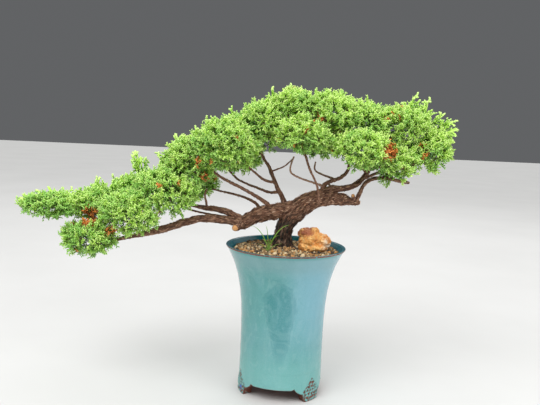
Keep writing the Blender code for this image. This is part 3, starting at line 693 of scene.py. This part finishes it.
def twig_material(name, dark, middle, light):
    """Thin young bark: fine strings along it, crossed by faint rings."""
    n = Nodes(name)
    grain = n.attribute("grain", "Vector")
    along = n.noise(n.scaled(grain, (1, 1, 0.30)), 1.5, 4, 0.6)
    rings = n.noise(n.scaled(grain, (0.1, 0.1, 1)), 1.0)
    colour = n.ramp(along, (0.32, dark), (0.52, middle), (0.70, light))
    colour = n.layers(colour, (n.between(rings, 0.55, 0.7) * 0.5, dark))
    return n.paint(colour, 0.75, along + rings, 0.0005, 0.7)


def grit_material():
    """Mixed grit. Each grain's kind lies across the map, and its own shade up it."""
    n = Nodes("grit")
    kind, shade = n.mapped()
    kinds = n.ramp(
        kind, (0.00, (0.035, 0.032, 0.028)), (0.15, (0.1, 0.08, 0.055)), (0.30, (0.25, 0.16, 0.08)),
        (0.48, (0.4, 0.245, 0.105)), (0.64, (0.56, 0.26, 0.075)), (0.80, (0.6, 0.45, 0.24)),
        (0.94, (0.68, 0.56, 0.37)),
    )
    shades = n.ramp(shade, (0, (0.55, 0.55, 0.55)), (1, (1.25, 1.2, 1.15)))
    fine = n.noise(n.place(), 1600, 4, 0.7)
    return n.paint(n.layers(kinds, (1.0, shades), blend="MULTIPLY"), 0.9, fine, 0.0004, 0.8)


def soil_material():
    """The fine soil that shows between the grains, damp and dark."""
    n = Nodes("soil")
    spot = n.place()
    fine = n.noise(spot, 420, 5, 0.7)
    colour = n.ramp(
        fine, (0.35, (0.02, 0.014, 0.01)), (0.55, (0.065, 0.042, 0.026)), (0.75, (0.15, 0.095, 0.055))
    )
    colour = n.layers(colour, (0.25, n.cells(spot, 300, "Color")), blend="SOFT_LIGHT")
    return n.paint(colour, 0.95, fine + n.cells(spot, 300), 0.0012)


def stone_material():
    """Crystalline stone: orange and tan, cream where it is freshly broken, a red-brown patch."""
    n = Nodes("stone")
    spot = n.place()
    low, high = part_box("stone")
    middle, half = (low + high) / 2, (high - low) / 2
    right, _, up = n.parts(spot)
    right, up = (right - middle.x) / half.x, (up - middle.z) / half.z
    broad = n.noise(spot, 75, 5, 0.65, 0.5)
    fine = n.noise(spot, 330, 5, 0.7)
    patch = n.between(up, 0.10, 0.45) * n.between(right, 0.15, -0.35) * n.between(broad, 0.62, 0.48)
    colour = n.ramp(
        broad, (0.30, (0.46, 0.14, 0.028)), (0.42, (0.72, 0.28, 0.058)),
        (0.54, (0.86, 0.43, 0.12)), (0.70, (0.95, 0.68, 0.3)),
    )
    colour = n.layers(
        colour,
        (n.between(fine, 0.56, 0.70), (0.97, 0.82, 0.52)),
        (n.between(fine, 0.44, 0.34) * 0.6, (0.3, 0.12, 0.045)),
        (patch * 0.85, (0.3, 0.075, 0.04)),
        (n.between(right, 0.30, 0.75) * n.between(broad, 0.40, 0.58) * 0.8, (0.93, 0.84, 0.7)),
    )
    return n.paint(colour, fine * 0.4 + 0.42, fine + n.cells(spot, 240) * 0.8, 0.0012, 0.9)


def grass_material():
    """Grass: fresh green with pale veins, yellower towards the tip."""
    n = Nodes("grass")
    side, along = n.mapped()
    colour = n.ramp(
        along, (0.0, (0.3, 0.36, 0.11)), (0.2, (0.17, 0.4, 0.035)),
        (0.7, (0.26, 0.56, 0.05)), (1.0, (0.46, 0.64, 0.12)),
    )
    veins = n.between(n.math("SINE", side * 60), 0.2, 1.0)
    return n.paint(n.layers(colour, (veins * 0.35, (0.4, 0.58, 0.16))), 0.45)


def plastic_material():
    """Black mesh plastic with faint mould marks."""
    n = Nodes("mesh_plastic")
    fine = n.noise(n.place(), 900)
    colour = n.ramp(fine, (0.3, (0.012, 0.012, 0.013)), (0.7, (0.04, 0.04, 0.042)))
    return n.paint(colour, 0.55, fine, 0.0002, 0.4)


def wire_material():
    """Drawn aluminium wire, lightly scratched along its length."""
    n = Nodes("wire")
    fine = n.noise(n.scaled(n.place(), (0.2, 1, 1)), 2600)
    colour = n.ramp(fine, (0.3, (0.42, 0.42, 0.44)), (0.7, (0.72, 0.72, 0.74)))
    return n.paint(colour, fine * 0.25 + 0.25, Metallic=1.0)


# ---------------------------------------------------------------- wood


def wood_piece():
    """The trunk and thick limbs grown into one with raised bark. Returns seats for loose flakes on it."""
    routes = [TRUNK, *(LIMBS[name] for name in SOLID_WOOD), *ROOTS]
    tubes = [tube_arrays(smooth_route(route, 4), 20)[:2] for route in routes]
    local, faces = remeshed(mesh_piece("wood_rough", *joined(tubes)), WOOD_VOXEL, 3)
    rows = []
    for number, route in enumerate(routes):
        fine = smooth_route(route, 1.5)
        ahead, across, other, covered = axes_along(fine)
        rows.append((fine, np.full(len(fine), number), np.stack([across, other, ahead], 1), covered))
    at, which, axes, depth = (np.concatenate(column) for column in zip(*rows))
    nearest = np.empty(len(local), np.int32)
    for start in range(0, len(local), 4000):
        part = local[start:start + 4000]
        away = np.linalg.norm(part[:, None] - at[None, :, :3], axis=2) - at[None, :, 3]
        nearest[start:start + 4000] = np.argmin(away, axis=1)
    offset = np.einsum("nij,nj->ni", axes[nearest], local - at[nearest, :3])
    limb = which[nearest]
    grain = np.stack([offset[:, 0], offset[:, 1], depth[nearest] + limb * 61], -1)
    size = np.clip(at[nearest, 3] / 13, 0.12, 1.2)
    wide = noise_at(grain * (1, 1, 0.16), 0.24)
    narrow = noise_at(grain * (1, 1, 0.14), 0.75, 3.1)
    plates = noise_at(grain * (1, 1, 0.42), 0.30, 9.3)
    lumps = noise_at(local, 0.085, 7.7)
    fissure = np.clip(1 - np.abs(wide) / 0.12, 0, 1)
    strings = 0.5 - np.abs(narrow) + 1.3 * np.clip(plates, -0.1, 0.35)
    rise = (3.0 * lumps + 1.7 * strings - 1.6 * fissure) * np.sqrt(size) * np.minimum(1, size * 1.8)
    # the trunk's foot flares in ridges, and the roots under the soil stay smooth
    height = local[:, 2]
    above = np.clip((height - BARK_FROM) / 10, 0, 1)
    low = np.clip((FLARE_TO - height) / 30, 0, 1) * (limb == 0)
    turn = np.arctan2(local[:, 0] + 5, local[:, 1] - 18)
    flare = low * (1.6 * np.cos(3 * turn + 0.6) + 1.1 * np.cos(5 * turn + 1.9))
    moved = local + normals_of(local, faces) * ((rise + flare) * above)[:, None]
    old = np.where(limb == 0, np.clip((OLD_BARK_TO - height) / 26, 0, 1), limb > len(SOLID_WOOD))
    piece = mesh_piece(
        "trunk_and_limbs", moved, faces,
        grain=grain, crack=fissure * above, old=old, plate=np.clip(plates * 2.5, 0, 1),
    )
    settle(piece, "trunk_bark", bark_material("bark_old", *BARK_COLOURS), "trunk", *SOLID_WOOD)
    normals = normals_of(moved, faces)
    spots = RANDOM.choice(np.flatnonzero(height > FLAKES_FROM), size=BARK_FLAKES, replace=False)
    return [
        (moved[i], normals[i], axes[nearest[i], 2], 0.35 + 0.65 * min(1.0, at[nearest[i], 3] / 12), old[i])
        for i in spots
    ]


def flakes_piece(seats):
    """Slivers of loose bark that lie along the wood and lift at one end."""
    share = np.linspace(0, 1, 5)[:, None]
    parts = []
    for spot, normal, ahead, size, old in seats:
        length, width = RANDOM.uniform(2.5, 7.5) * size, RANDOM.uniform(0.7, 1.9) * size
        lift, turn = RANDOM.uniform(0.2, 1.5) * size, RANDOM.uniform(-0.35, 0.35)
        aside = np.cross(normal, ahead)
        way = unit(ahead * math.cos(turn) + aside * math.sin(turn)) * RANDOM.choice((-1, 1))
        line = spot + way * (length * (share - 0.4)) + normal * (lift * share ** 2 + 0.05)
        half = width / 2 * np.sin(math.pi * np.clip(share * 0.86 + 0.10, 0, 1)) + 0.05
        side, thick = unit(np.cross(normal, way)) * half, normal * (0.16 + 0.10 * size)
        tone = float(np.clip(RANDOM.uniform() ** 1.3 * (1 - 0.82 * old), 0, 1))
        points, faces = lath(np.stack([line - side, line + thick, line + side, line - thick], 1), line)
        parts.append((points, faces, np.full(len(points), tone)))
    settle(mesh_piece("bark_flakes", *joined(parts), key="tone", smooth=False), "bark", flake_material())


def lath(rings, line):
    """A closed four-sided lath from its rings of points and its middle line."""
    return np.concatenate([rings.reshape(-1, 3), line[:1], line[-1:]]), capped_faces(len(line), 4)


def branch_pieces(seats):
    """The thinner branches and twigs, each a knobbly tube that starts inside the wood it grows from."""
    young, pale = twig_material("twig_bark", *TWIG_COLOURS), twig_material("pale_bark", *PALE_COLOURS)
    spacing, corners = BRANCH_RINGS
    for name, route in LIMBS.items():
        if name in SOLID_WOOD:
            continue
        line = smooth_route(route, spacing) * (1, 1, 1, 1.12)
        points, faces, grain = tube_arrays(line, corners, uneven=0.38)
        ahead = axes_along(line)[0]
        for _ in range(int(len(line) * BRANCH_FLAKES)):
            row = int(RANDOM.integers(2, len(line) - 2))
            spot = points[row * corners + RANDOM.integers(corners)]
            seats.append((spot, unit(spot - line[row, :3]), ahead[row], 0.16 + 0.14 * line[row, 3], 0.0))
        slot, material = ("pale_bark", pale) if name in PALE_WOOD else ("bark", young)
        settle(mesh_piece("bark_" + name, points, faces, grain, "grain"), slot, material, name)


def cuts_piece():
    """Rounded pruning cuts at the ends of the stubs."""
    rows, columns = 9, 28
    turn = around(columns)
    slope = math.pi * (np.arange(rows) + 0.02) / (rows - 0.96)
    parts = []
    for centre, facing, radius in CUTS:
        ahead = unit(np.array(facing))
        across = unit(np.cross(ahead, (0.2, 0.1, 1)))
        wide = np.sin(slope)[:, None] * radius * (1 + 0.05 * np.sin(3 * turn + radius))
        height = np.cos(slope) * radius * 0.22
        side, up = (np.cos(turn) * wide)[..., None], (np.sin(turn) * wide)[..., None]
        rim = across * side + np.cross(ahead, across) * up
        rings = np.array(centre) + ahead * (height + 0.3)[:, None, None] + rim
        points = np.concatenate([rings.reshape(-1, 3), rings[[0, -1]].mean(1)])
        spread = np.repeat(np.where(height > 0, np.sin(slope), 1.0), columns)
        parts.append((points, capped_faces(rows, columns)[:, ::-1], np.append(spread, (0, 1))))
    settle(mesh_piece("pruning_cuts", *joined(parts), key="across"), "pale_bark", cut_material())


# ---------------------------------------------------------------- pot


def wall_radius(height):
    """The pot's outer radius at a height, both in millimetres."""
    flare = np.clip((height - 54) / 182, 0, None) ** 4
    base = np.clip(1 - height / 54, 0, None) ** 2
    return 66.3 + 28.7 * flare + 1.0 * base


def wrapped(degrees):
    """An angle between -180 and 180 degrees."""
    return (degrees + 180) % 360 - 180


def pot_piece():
    """The pot: thrown body, rounded lip, arches between three bracket feet with a pitted relief."""
    degrees = np.arange(POT_COLUMNS) * 360 / POT_COLUMNS
    turn = np.radians(degrees)
    edge = np.zeros(POT_COLUMNS)
    relief = np.full(POT_COLUMNS, 90.0)
    for foot in FOOT_ANGLES:
        share = np.abs(wrapped(degrees - foot - 60)) / ARCH_HALF_ANGLE
        edge = np.maximum(edge, APRON_HEIGHT * np.interp(share, *ARCH_OUTLINE, right=0))
        near = wrapped(degrees - foot)
        relief = np.where(np.abs(near) < np.abs(relief), near, relief)
    rows = []

    def row(radius, height, bare=0.0, teal=0.0):
        values = (radius, height, bare, teal)
        rows.append([np.broadcast_to(value, POT_COLUMNS).astype(float) for value in values])

    row(wall_radius(edge) - 1.2, edge, 1)
    row(wall_radius(edge) - 0.3, edge + 0.35, 1)
    for t in np.linspace(0.02, 1, 62):
        # pits in staggered rows, each strayed and misshapen in its own way
        height = edge + (44 - edge) * t
        along = np.radians(relief) * 67 / PIT_PITCH
        level = height / (PIT_PITCH * 0.866)
        shift = 0.5 * (np.round(level) % 2)
        column, line = np.round(along - shift), np.round(level)
        stray = 5.3 * column + 8.9 * line
        side = (along - shift - column) * PIT_PITCH + 0.9 * np.sin(stray)
        up = (level - line) * PIT_PITCH * 0.866 + 0.8 * np.cos(1.7 * stray)
        lobes = np.sin(3 * np.arctan2(up, side) + stray)
        reach = PIT_REACH * (1 + 0.22 * np.sin(2.3 * stray) + 0.20 * lobes)
        pit = np.clip((1 - np.hypot(side, up) / reach) * 2.6, 0, 1)
        pit = pit * pit * (3 - 2 * pit)
        room = np.clip((29 * (1 - height / 38) - np.abs(relief)) / 2.5, 0, 1)
        raised = np.clip(room * 3, 0, 1) * 0.7
        below = np.clip(1 - (height - edge) / 1.6, 0, 1)
        row(wall_radius(height) + raised - PIT_DEPTH * pit * room, height, np.maximum(pit * room, below))
    for height in np.arange(46, 232, 2.4):
        throwing = 0.10 * math.sin(height / 3.4) + 0.22 * np.sin(2 * turn + height / 60)
        row(wall_radius(height) + throwing, height)
    # teal marks the deep teal glaze on the lip top and inside; on the lip top it also paints a dark
    # reflection
    for radius, _, height, _ in smooth_route(LIP, 0.55):
        clay = float(radius > 93.6 and 233.2 < height < 235.7)
        row(radius, height, clay, min(1, max(0, (95.2 - radius) / 1.2)) if height > 235.3 else radius < 91)
    for height in INSIDE_HEIGHTS:
        row(wall_radius(height) - WALL, height, 0, 1)
    for radius, height, bare in POT_FLOOR:
        row(radius, height, bare, 1 - bare)
    for t in (0.2, 0.45, 0.7, 0.9, 1.0):
        row(52 + 0.6 * (t == 1), 23.4 + (edge - 23.4) * t + 0.05 * (1 - t), 1)
    radius, height, bare, teal = np.array(rows).transpose(1, 0, 2)
    points = np.stack([radius * np.sin(turn), -radius * np.cos(turn), height], -1).reshape(-1, 3)
    spot = np.clip(2 - np.linalg.norm(points - np.array(BLUE_SPOT), axis=1) / 2.4, 0, 1)
    faces = grid_faces(len(rows), POT_COLUMNS, close_rows=True)
    piece = mesh_piece("glazed_pot", points, faces, bare=bare.ravel(), teal=teal.ravel(), spot=spot)
    settle(piece, "glaze", glaze_material(), "pot")


# ---------------------------------------------------------------- stone, grit and grass


def blob(centre, half_sizes):
    """An ellipsoid to be merged with others."""
    rows, columns = 13, 20
    height = np.cos(np.linspace(0.08, math.pi - 0.08, rows))[:, None]
    wide = np.sqrt(1 - height ** 2)
    turn = around(columns)
    shell = np.stack(np.broadcast_arrays(wide * np.cos(turn), wide * np.sin(turn), height), -1).reshape(-1, 3)
    points = np.concatenate([shell, [[0, 0, 1], [0, 0, -1]]])
    return points * half_sizes + centre, capped_faces(rows, columns)[:, ::-1]


def stone_piece():
    """A craggy lump of crystalline stone, sunk a little into the grit."""
    rough = mesh_piece("stone_rough", *joined([blob(*lump) for lump in STONE_LUMPS]))
    local, faces = remeshed(rough, STONE_VOXEL, 6)
    facets, small = (
        np.array([noise.voronoi(Vector(place) * scale + Vector(shift))[0][0] for place in local]) - 0.42
        for scale, shift in ((0.115, (0, 0, 0)), (0.34, (4, 1, 9)))
    )
    rise = 3.4 * facets + 1.3 * small + 0.9 * noise_at(local, 0.30) + 0.35 * noise_at(local, 1.1)
    moved = local + normals_of(local, faces) * rise[:, None]
    settle(mesh_piece("rough_stone", moved, faces), "stone", stone_material(), "stone")


def grit_piece():
    """Loose grains of mixed grit lying over the soil, with a few against the rim and the roots."""
    base = bmesh.new()
    bmesh.ops.create_icosphere(base, subdivisions=2, radius=1)
    shape = np.array([vertex.co for vertex in base.verts])
    base.verts.index_update()
    sides = np.array([[vertex.index for vertex in face.verts] for face in base.faces])
    base.free()
    forms = []
    for _ in range(GRAIN_FORMS):
        planes = unit(RANDOM.normal(size=(9, 3)))
        reach = 1 / np.max(np.abs(shape @ planes.T), axis=1)
        cut = shape * np.minimum(reach, 1.35)[:, None] * RANDOM.uniform(0.68, 1.12, 3)
        forms.append(cut / np.abs(cut).max())
    ground, *blocks = (tree_of(*node_arrays(name)) for name in ("soil", "stone", "trunk"))
    parts = []
    down = Vector((0, 0, -1))
    while len(parts) < GRAINS:
        away = GRIT_SPREAD * math.sqrt(RANDOM.uniform())
        turn = RANDOM.uniform(0, 2 * math.pi)
        size = float(np.clip(RANDOM.lognormal(0.62, 0.30), *GRAIN_SIZES))
        kind, shade = RANDOM.uniform(), RANDOM.uniform()
        spin = unit(RANDOM.normal(size=(2, 3)))
        form = forms[RANDOM.integers(GRAIN_FORMS)]
        away = min(away, GRIT_SPREAD + 0.6 - size)
        top = place((away * math.sin(turn), -away * math.cos(turn), 270))
        if any(block.ray_cast(top, down)[0] is not None for block in blocks):
            continue
        hit = ground.ray_cast(top, down)[0]
        if hit is None or hit.z < 0.2:
            continue
        second = unit(np.cross(*spin))
        axes = np.stack([spin[0], second, np.cross(spin[0], second)])
        points = form @ axes * size + in_mm(hit) + (0, 0, size * RANDOM.uniform(-0.1, 0.62))
        uv = np.stack([kind + 0.01 * shape[:, 0], shade * 0.98 + 0.01 * shape[:, 1]], -1)
        parts.append((points, sides, uv))
    settle(mesh_piece("grit_grains", *joined(parts), smooth=False), "grit", grit_material())


def grass_piece():
    """A tuft of fine folded blades that arch out of one crown."""
    share = np.linspace(0, 1, 22)[:, None]
    corners = np.broadcast_to((0, 0.3, 0.6, 0.9), (22, 4))
    uv = np.stack([corners, np.repeat(share, 4, 1)], -1).reshape(-1, 2)
    uv = np.concatenate([uv, [[0.5, 0], [0.5, 1]]])
    parts = []
    for tip, width in GRASS_BLADES:
        bend = np.concatenate([share ** 1.35, share ** 1.35, np.sin(share * math.pi / 2)], 1)
        line = np.array(GRASS_FOOT) + tip * bend
        ahead = unit(np.gradient(line, axis=0))
        aside = unit(np.cross(ahead, (0.25, 1, 0.1)))
        up = np.cross(aside, ahead)
        half = width / 2 * np.clip(1.04 - share ** 2.2, 0.05, 1) * np.clip(share * 7 + 0.6, 0, 1)
        keel, ridge = -up * 0.35 * half, up * (0.12 - 0.25 * half)
        shifts = (up * 0.25 - aside * half, keel, up * 0.25 + aside * half, ridge)
        parts.append((*lath(np.stack([line + shift for shift in shifts], 1), line), uv))
    settle(mesh_piece("grass_blades", *joined(parts)), "grass", grass_material(), "grass_tuft")


# ---------------------------------------------------------------- foliage


def cord(places, radii, start, end, sides=3):
    """A thin scaly cord: points, triangles and (turn, share of the spray's length) at each point."""
    ahead = unit(np.gradient(places, axis=0))
    across = unit(np.cross(ahead, (0.05, 1, 0.02)))
    turn = around(sides) + 0.5
    circle = across[:, None] * np.cos(turn)[:, None]
    circle += np.cross(ahead, across)[:, None] * np.sin(turn)[:, None]
    rings = len(places) - 1
    shell = places[:-1, None] + circle[:-1] * np.array(radii)[:-1, None, None]
    points = np.concatenate([shell.reshape(-1, 3), places[:1], places[-1:]])
    share = np.linspace(start, end, len(places))
    along = np.append(np.repeat(share[:-1], sides), (start, end))
    angle = np.append(np.tile(np.cos(turn), rings), (0, 0))
    return points, capped_faces(rings, sides), np.stack([angle, along], -1)


def spray_form():
    """One branched spray of scale leaves, a unit long, growing up Z and spread mostly in X."""
    bend = RANDOM.uniform(-0.22, 0.22, 2)
    share = np.linspace(0, 1, 5)
    spine = np.stack([bend[0] * share ** 2, bend[1] * share ** 2, share], -1)
    parts = [cord(spine, 0.052 * (1 - 0.10 * share), 0, 1)]
    side = 1
    for at in np.linspace(0.14, 0.86, SPRAY_ARMS):
        side = -side
        foot = np.array([np.interp(at, share, spine[:, i]) for i in range(3)])
        length = (0.52 - 0.28 * at) * RANDOM.uniform(0.75, 1.2)
        rise = math.radians(RANDOM.uniform(30, 60))
        lean = RANDOM.uniform(-1.3, 1.3)
        way = unit(np.array((side * math.sin(rise), lean * math.sin(rise), math.cos(rise))))
        curl = np.array((-side * 0.10, 0, 0.20)) * length
        steps = np.array((0, 0.74, 1))[:, None]
        line = foot + way * length * steps + curl * steps ** 2
        parts.append(cord(line, np.array((0.040, 0.062, 0)), at * 0.8, min(1, at + 0.40)))
        for part, swing in ((0.30, 1), (0.62, -1)):
            start = foot + way * length * part + curl * part ** 2
            turned = way + np.array((swing * 0.9 * way[2], RANDOM.uniform(-0.9, 0.9), -swing * 0.9 * way[0]))
            small = unit(turned) * length * RANDOM.uniform(0.40, 0.60)
            fine = start + small * np.array((0, 0.68, 1))[:, None]
            parts.append(cord(fine, np.array((0.034, 0.058, 0)), min(1, at * 0.8 + 0.25), min(1, at + 0.48)))
    return joined(parts)


def sprays_arrays(sprays):
    """Points, triangles and map of many sprays, each (foot, way to grow, length, tint)."""
    feet, ways, lengths, tints = (np.array(column) for column in zip(*sprays))
    ways = unit(ways)
    across = unit(np.cross(ways, RANDOM.normal(size=feet.shape)))
    axes = np.stack([across, np.cross(ways, across), ways], 1)
    kind = RANDOM.integers(len(SPRAY_FORMS), size=len(feet))
    parts = []
    for number, (points, faces, uv) in enumerate(SPRAY_FORMS):
        these = np.flatnonzero(kind == number)
        if not len(these):
            continue
        placed = np.einsum("pi,kij->kpj", points, axes[these]) * lengths[these, None, None]
        placed += feet[these, None]
        shifted = faces[None] + (np.arange(len(these)) * len(points))[:, None, None]
        tint = tints[these, None] + 0.015 * uv[None, :, 0]
        along = np.broadcast_to(0.02 + 0.94 * uv[None, :, 1], tint.shape)
        uv = np.stack([tint, along], -1).reshape(-1, 2)
        parts.append((placed.reshape(-1, 3), shifted.reshape(-1, 3), uv))
    return joined(parts)


def inside(tree, point):
    """Whether a point is inside a closed mesh."""
    way = Vector((0.11, 0.23, 0.97)).normalized()
    hit, normal, _, _ = tree.ray_cast(point, way)
    return hit is not None and normal.dot(way) > 0


def surface_spots(points, faces, count):
    """Random places on a mesh with their outward normals."""
    corners = points[faces]
    flat = np.cross(corners[:, 1] - corners[:, 0], corners[:, 2] - corners[:, 0])
    area = np.linalg.norm(flat, axis=1)
    chosen = RANDOM.choice(len(faces), size=count, p=area / area.sum())
    a, b = np.sqrt(RANDOM.uniform(size=count)), RANDOM.uniform(size=count)
    weights = np.stack([1 - a, a * (1 - b), a * b], -1)
    return np.einsum("nc,ncj->nj", weights, corners[chosen]), flat[chosen] / area[chosen, None]


def painted_light_tint(place, way, shade):
    """How bright and yellow a spray is. Painted light makes sprays that point up and those to the right
    brighter, shade is painted shade taken off, and the rest is random tone. Some are dead.
    """
    broad = noise.noise(Vector(place) * 0.020)
    close = noise.noise(Vector(place) * 0.07 + Vector((5, 5, 5)))
    # painted light from way[2] and place[0]; broad and close are random tone
    value = 0.54 + 0.0004 * place[0] + 0.16 * way[2] + 0.26 * broad + 0.20 * close
    value += 0.17 * RANDOM.normal() - shade
    for centre, reach in DEAD_PLACES:
        away = math.hypot(*(np.subtract(place, centre) * (1, 0.35, 1)))
        if away < 0.72 * reach and RANDOM.uniform() < 0.85:
            return TINT_DEAD
    if RANDOM.uniform() < 0.008:
        return TINT_DEAD
    return float(np.clip(value, 0.02, 0.85))


def foliage_pieces():
    """Every mass of foliage as tufts of sprays that grow from its inside to its surface."""
    names = [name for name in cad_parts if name.startswith("foliage_")]
    meshes = {name: node_arrays(name) for name in names}
    trees = {name: tree_of(*meshes[name]) for name in names}
    material = foliage_material()
    up = np.array((0, 0, 1.0))
    origins, homes, middles = [], [], []
    for name in names:
        local = in_mm(meshes[name][0])
        spots, normals = surface_spots(local, meshes[name][1], TUFT_TRIES)
        sprays, kept = [], []
        for spot, normal in zip(spots, normals):
            if kept and min(np.linalg.norm(np.array(kept) - spot, axis=1)) < TUFT_SPACING:
                continue
            beyond = place(spot + normal * 5)
            if any(other != name and inside(trees[other], beyond) for other in names):
                continue
            kept.append(spot)
            if any(np.all(spot > low) and np.all(spot < high) for low, high in BARE_PLACES):
                continue
            under = max(0.0, -normal[2])
            if RANDOM.uniform() < 0.45 * under:
                continue
            origin = spot - normal * TUFT_DEPTH - up * 2
            origins.append(origin)
            # painted shade: sprays under a mass get a darker tint, plus random tone
            shade = 0.08 * under + 0.10 * RANDOM.normal()
            for _ in range(TUFT_SPRAYS - round(4 * under)):
                way = unit(0.75 * normal + (0.40 - 0.20 * under) * up + 0.62 * RANDOM.normal(size=3))
                foot = origin + RANDOM.normal(size=3) * 2.6 + way * RANDOM.uniform(-3, 3)
                reach = SPRAY_LENGTH * RANDOM.uniform(0.72, 1.10) * (1 - 0.15 * under)
                sprays.append((foot, way, reach, painted_light_tint(foot + way * reach, way, shade)))
        middle = local.mean(0)
        # inner fill sprays get the darkest tints, a painted shade inside the mass
        for _ in range(FILL_SPRAYS):
            spot, stray = spots[RANDOM.integers(len(spots))], unit(RANDOM.normal(size=3))
            foot = middle + (spot - middle) * RANDOM.uniform(0.25, 0.72)
            way = unit(unit(spot - middle) + 0.7 * stray + 0.3 * up)
            length = SPRAY_LENGTH * RANDOM.uniform(0.7, 1.0)
            sprays.append((foot, way, length, float(RANDOM.uniform(0, 0.15))))
        homes.append(sprays)
        middles.append(middle)
    for base, tip in np.array(LONE_SPRAYS, float):
        sprays = homes[int(np.argmin(np.linalg.norm(np.array(middles) - base, axis=1)))]
        length = float(np.linalg.norm(tip - base))
        way = (tip - base) / length
        sprays.append((base - way * 6, way, length + 6, 0.62))
        for share in (0.1, 0.3, 0.5):
            aside = unit(way + 0.42 * RANDOM.normal(size=3))
            sprays.append((base + way * length * (share - 0.2), aside, length * (0.95 - share), 0.5))
    for name, sprays in zip(names, homes):
        piece = mesh_piece(name.replace("foliage_", "sprays_"), *sprays_arrays(sprays))
        settle(piece, "foliage", material, name)
    return origins


def twigs_piece(origins):
    """Fine twigs that carry the tufts, each grown from the nearest wood there already is."""
    wood = np.concatenate([smooth_route(route, 4)[:, :3] for route in LIMBS.values()])
    parts = []
    away = [float(np.min(np.linalg.norm(wood - origin, axis=1))) for origin in origins]
    for number in np.argsort(away, kind="stable"):
        origin = origins[number]
        gap = np.linalg.norm(wood - origin, axis=1)
        start, length = wood[int(np.argmin(gap))], float(gap.min())
        share = np.linspace(0, 1, max(3, round(length / 5)))[:, None]
        sway = RANDOM.normal(size=3) * length * 0.10 + np.array((0, 0, -0.10 * length))
        line = start + (origin - start) * share + sway * 4 * share * (1 - share)
        wood = np.concatenate([wood, line[1:]])
        base = 0.62 + min(0.7, length * 0.012)
        parts.append(tube_arrays(np.concatenate([line, base + (0.45 - base) * share], 1), 6))
    bark = twig_material("fine_bark", *FINE_COLOURS)
    settle(mesh_piece("fine_twigs", *joined(parts), key="grain"), "bark", bark)


# ---------------------------------------------------------------- stage


def stage():
    """A plain pale floor, soft light from all sides and the camera at the photograph's angle."""
    corners = np.array([(-1, -1, 0), (1, -1, 0), (1, 1, 0), (-1, 1, 0)]) * FLOOR_REACH
    floor = mesh_piece("floor", in_mm(corners), [(0, 1, 2, 3)], smooth=False)
    n = Nodes("floor")
    tone = n.ramp(n.noise(n.place(), 3.0), (0.3, (0.60, 0.60, 0.59)), (0.7, (0.63, 0.63, 0.62)))
    floor.data.materials.append(n.paint(tone, 0.85))
    world = bpy.data.worlds.new("studio")
    bpy.context.scene.world = world
    n = Nodes("studio", world)
    sky = n.ramp(n.parts(n.place("Generated"))[2], (0.22, (0.105, 0.108, 0.112)), (0.60, (1.0, 1.0, 1.0)))
    n.feed(n.shader, {"Color": sky, "Strength": 1.15})
    for name, offset, size, power in LIGHTS:
        lamp = bpy.data.lights.new(name, "AREA")
        lamp.shape, lamp.energy = "RECTANGLE", power
        lamp.size, lamp.size_y = size
        light = linked(name, lamp)
        light.location = place((0, 0, 250)) + Vector(offset)
        light.rotation_mode = "QUATERNION"
        light.rotation_quaternion = (-Vector(offset)).to_track_quat("-Z", "Y")
    data = bpy.data.cameras.new("camera")
    data.sensor_width, data.lens = 36, CAMERA_LENS
    data.clip_start, data.clip_end = 0.05, 50
    camera = linked("camera", data)
    tilt = Matrix.Rotation(math.radians(90 - CAMERA_PITCH), 4, "X")
    roll = Matrix.Rotation(math.radians(CAMERA_ROLL), 4, "Z")
    camera.matrix_world = Matrix.Translation(place(CAMERA_PLACE)) @ tilt @ roll
    bpy.context.scene.camera = camera
    bpy.context.scene.view_settings.view_transform = "Standard"


def main():
    pot_piece()
    for name, material in (
        ("soil", soil_material()), ("drainage_mesh", plastic_material()), ("mesh_wire", wire_material()),
    ):
        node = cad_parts[name]
        node.data.materials.clear()
        node.data.materials.append(material)
    seats = wood_piece()
    branch_pieces(seats)
    flakes_piece(seats)
    cuts_piece()
    stone_piece()
    grit_piece()
    grass_piece()
    twigs_piece(foliage_pieces())
    stage()


SPRAY_FORMS = [spray_form() for _ in range(SPRAY_KINDS)]
main()
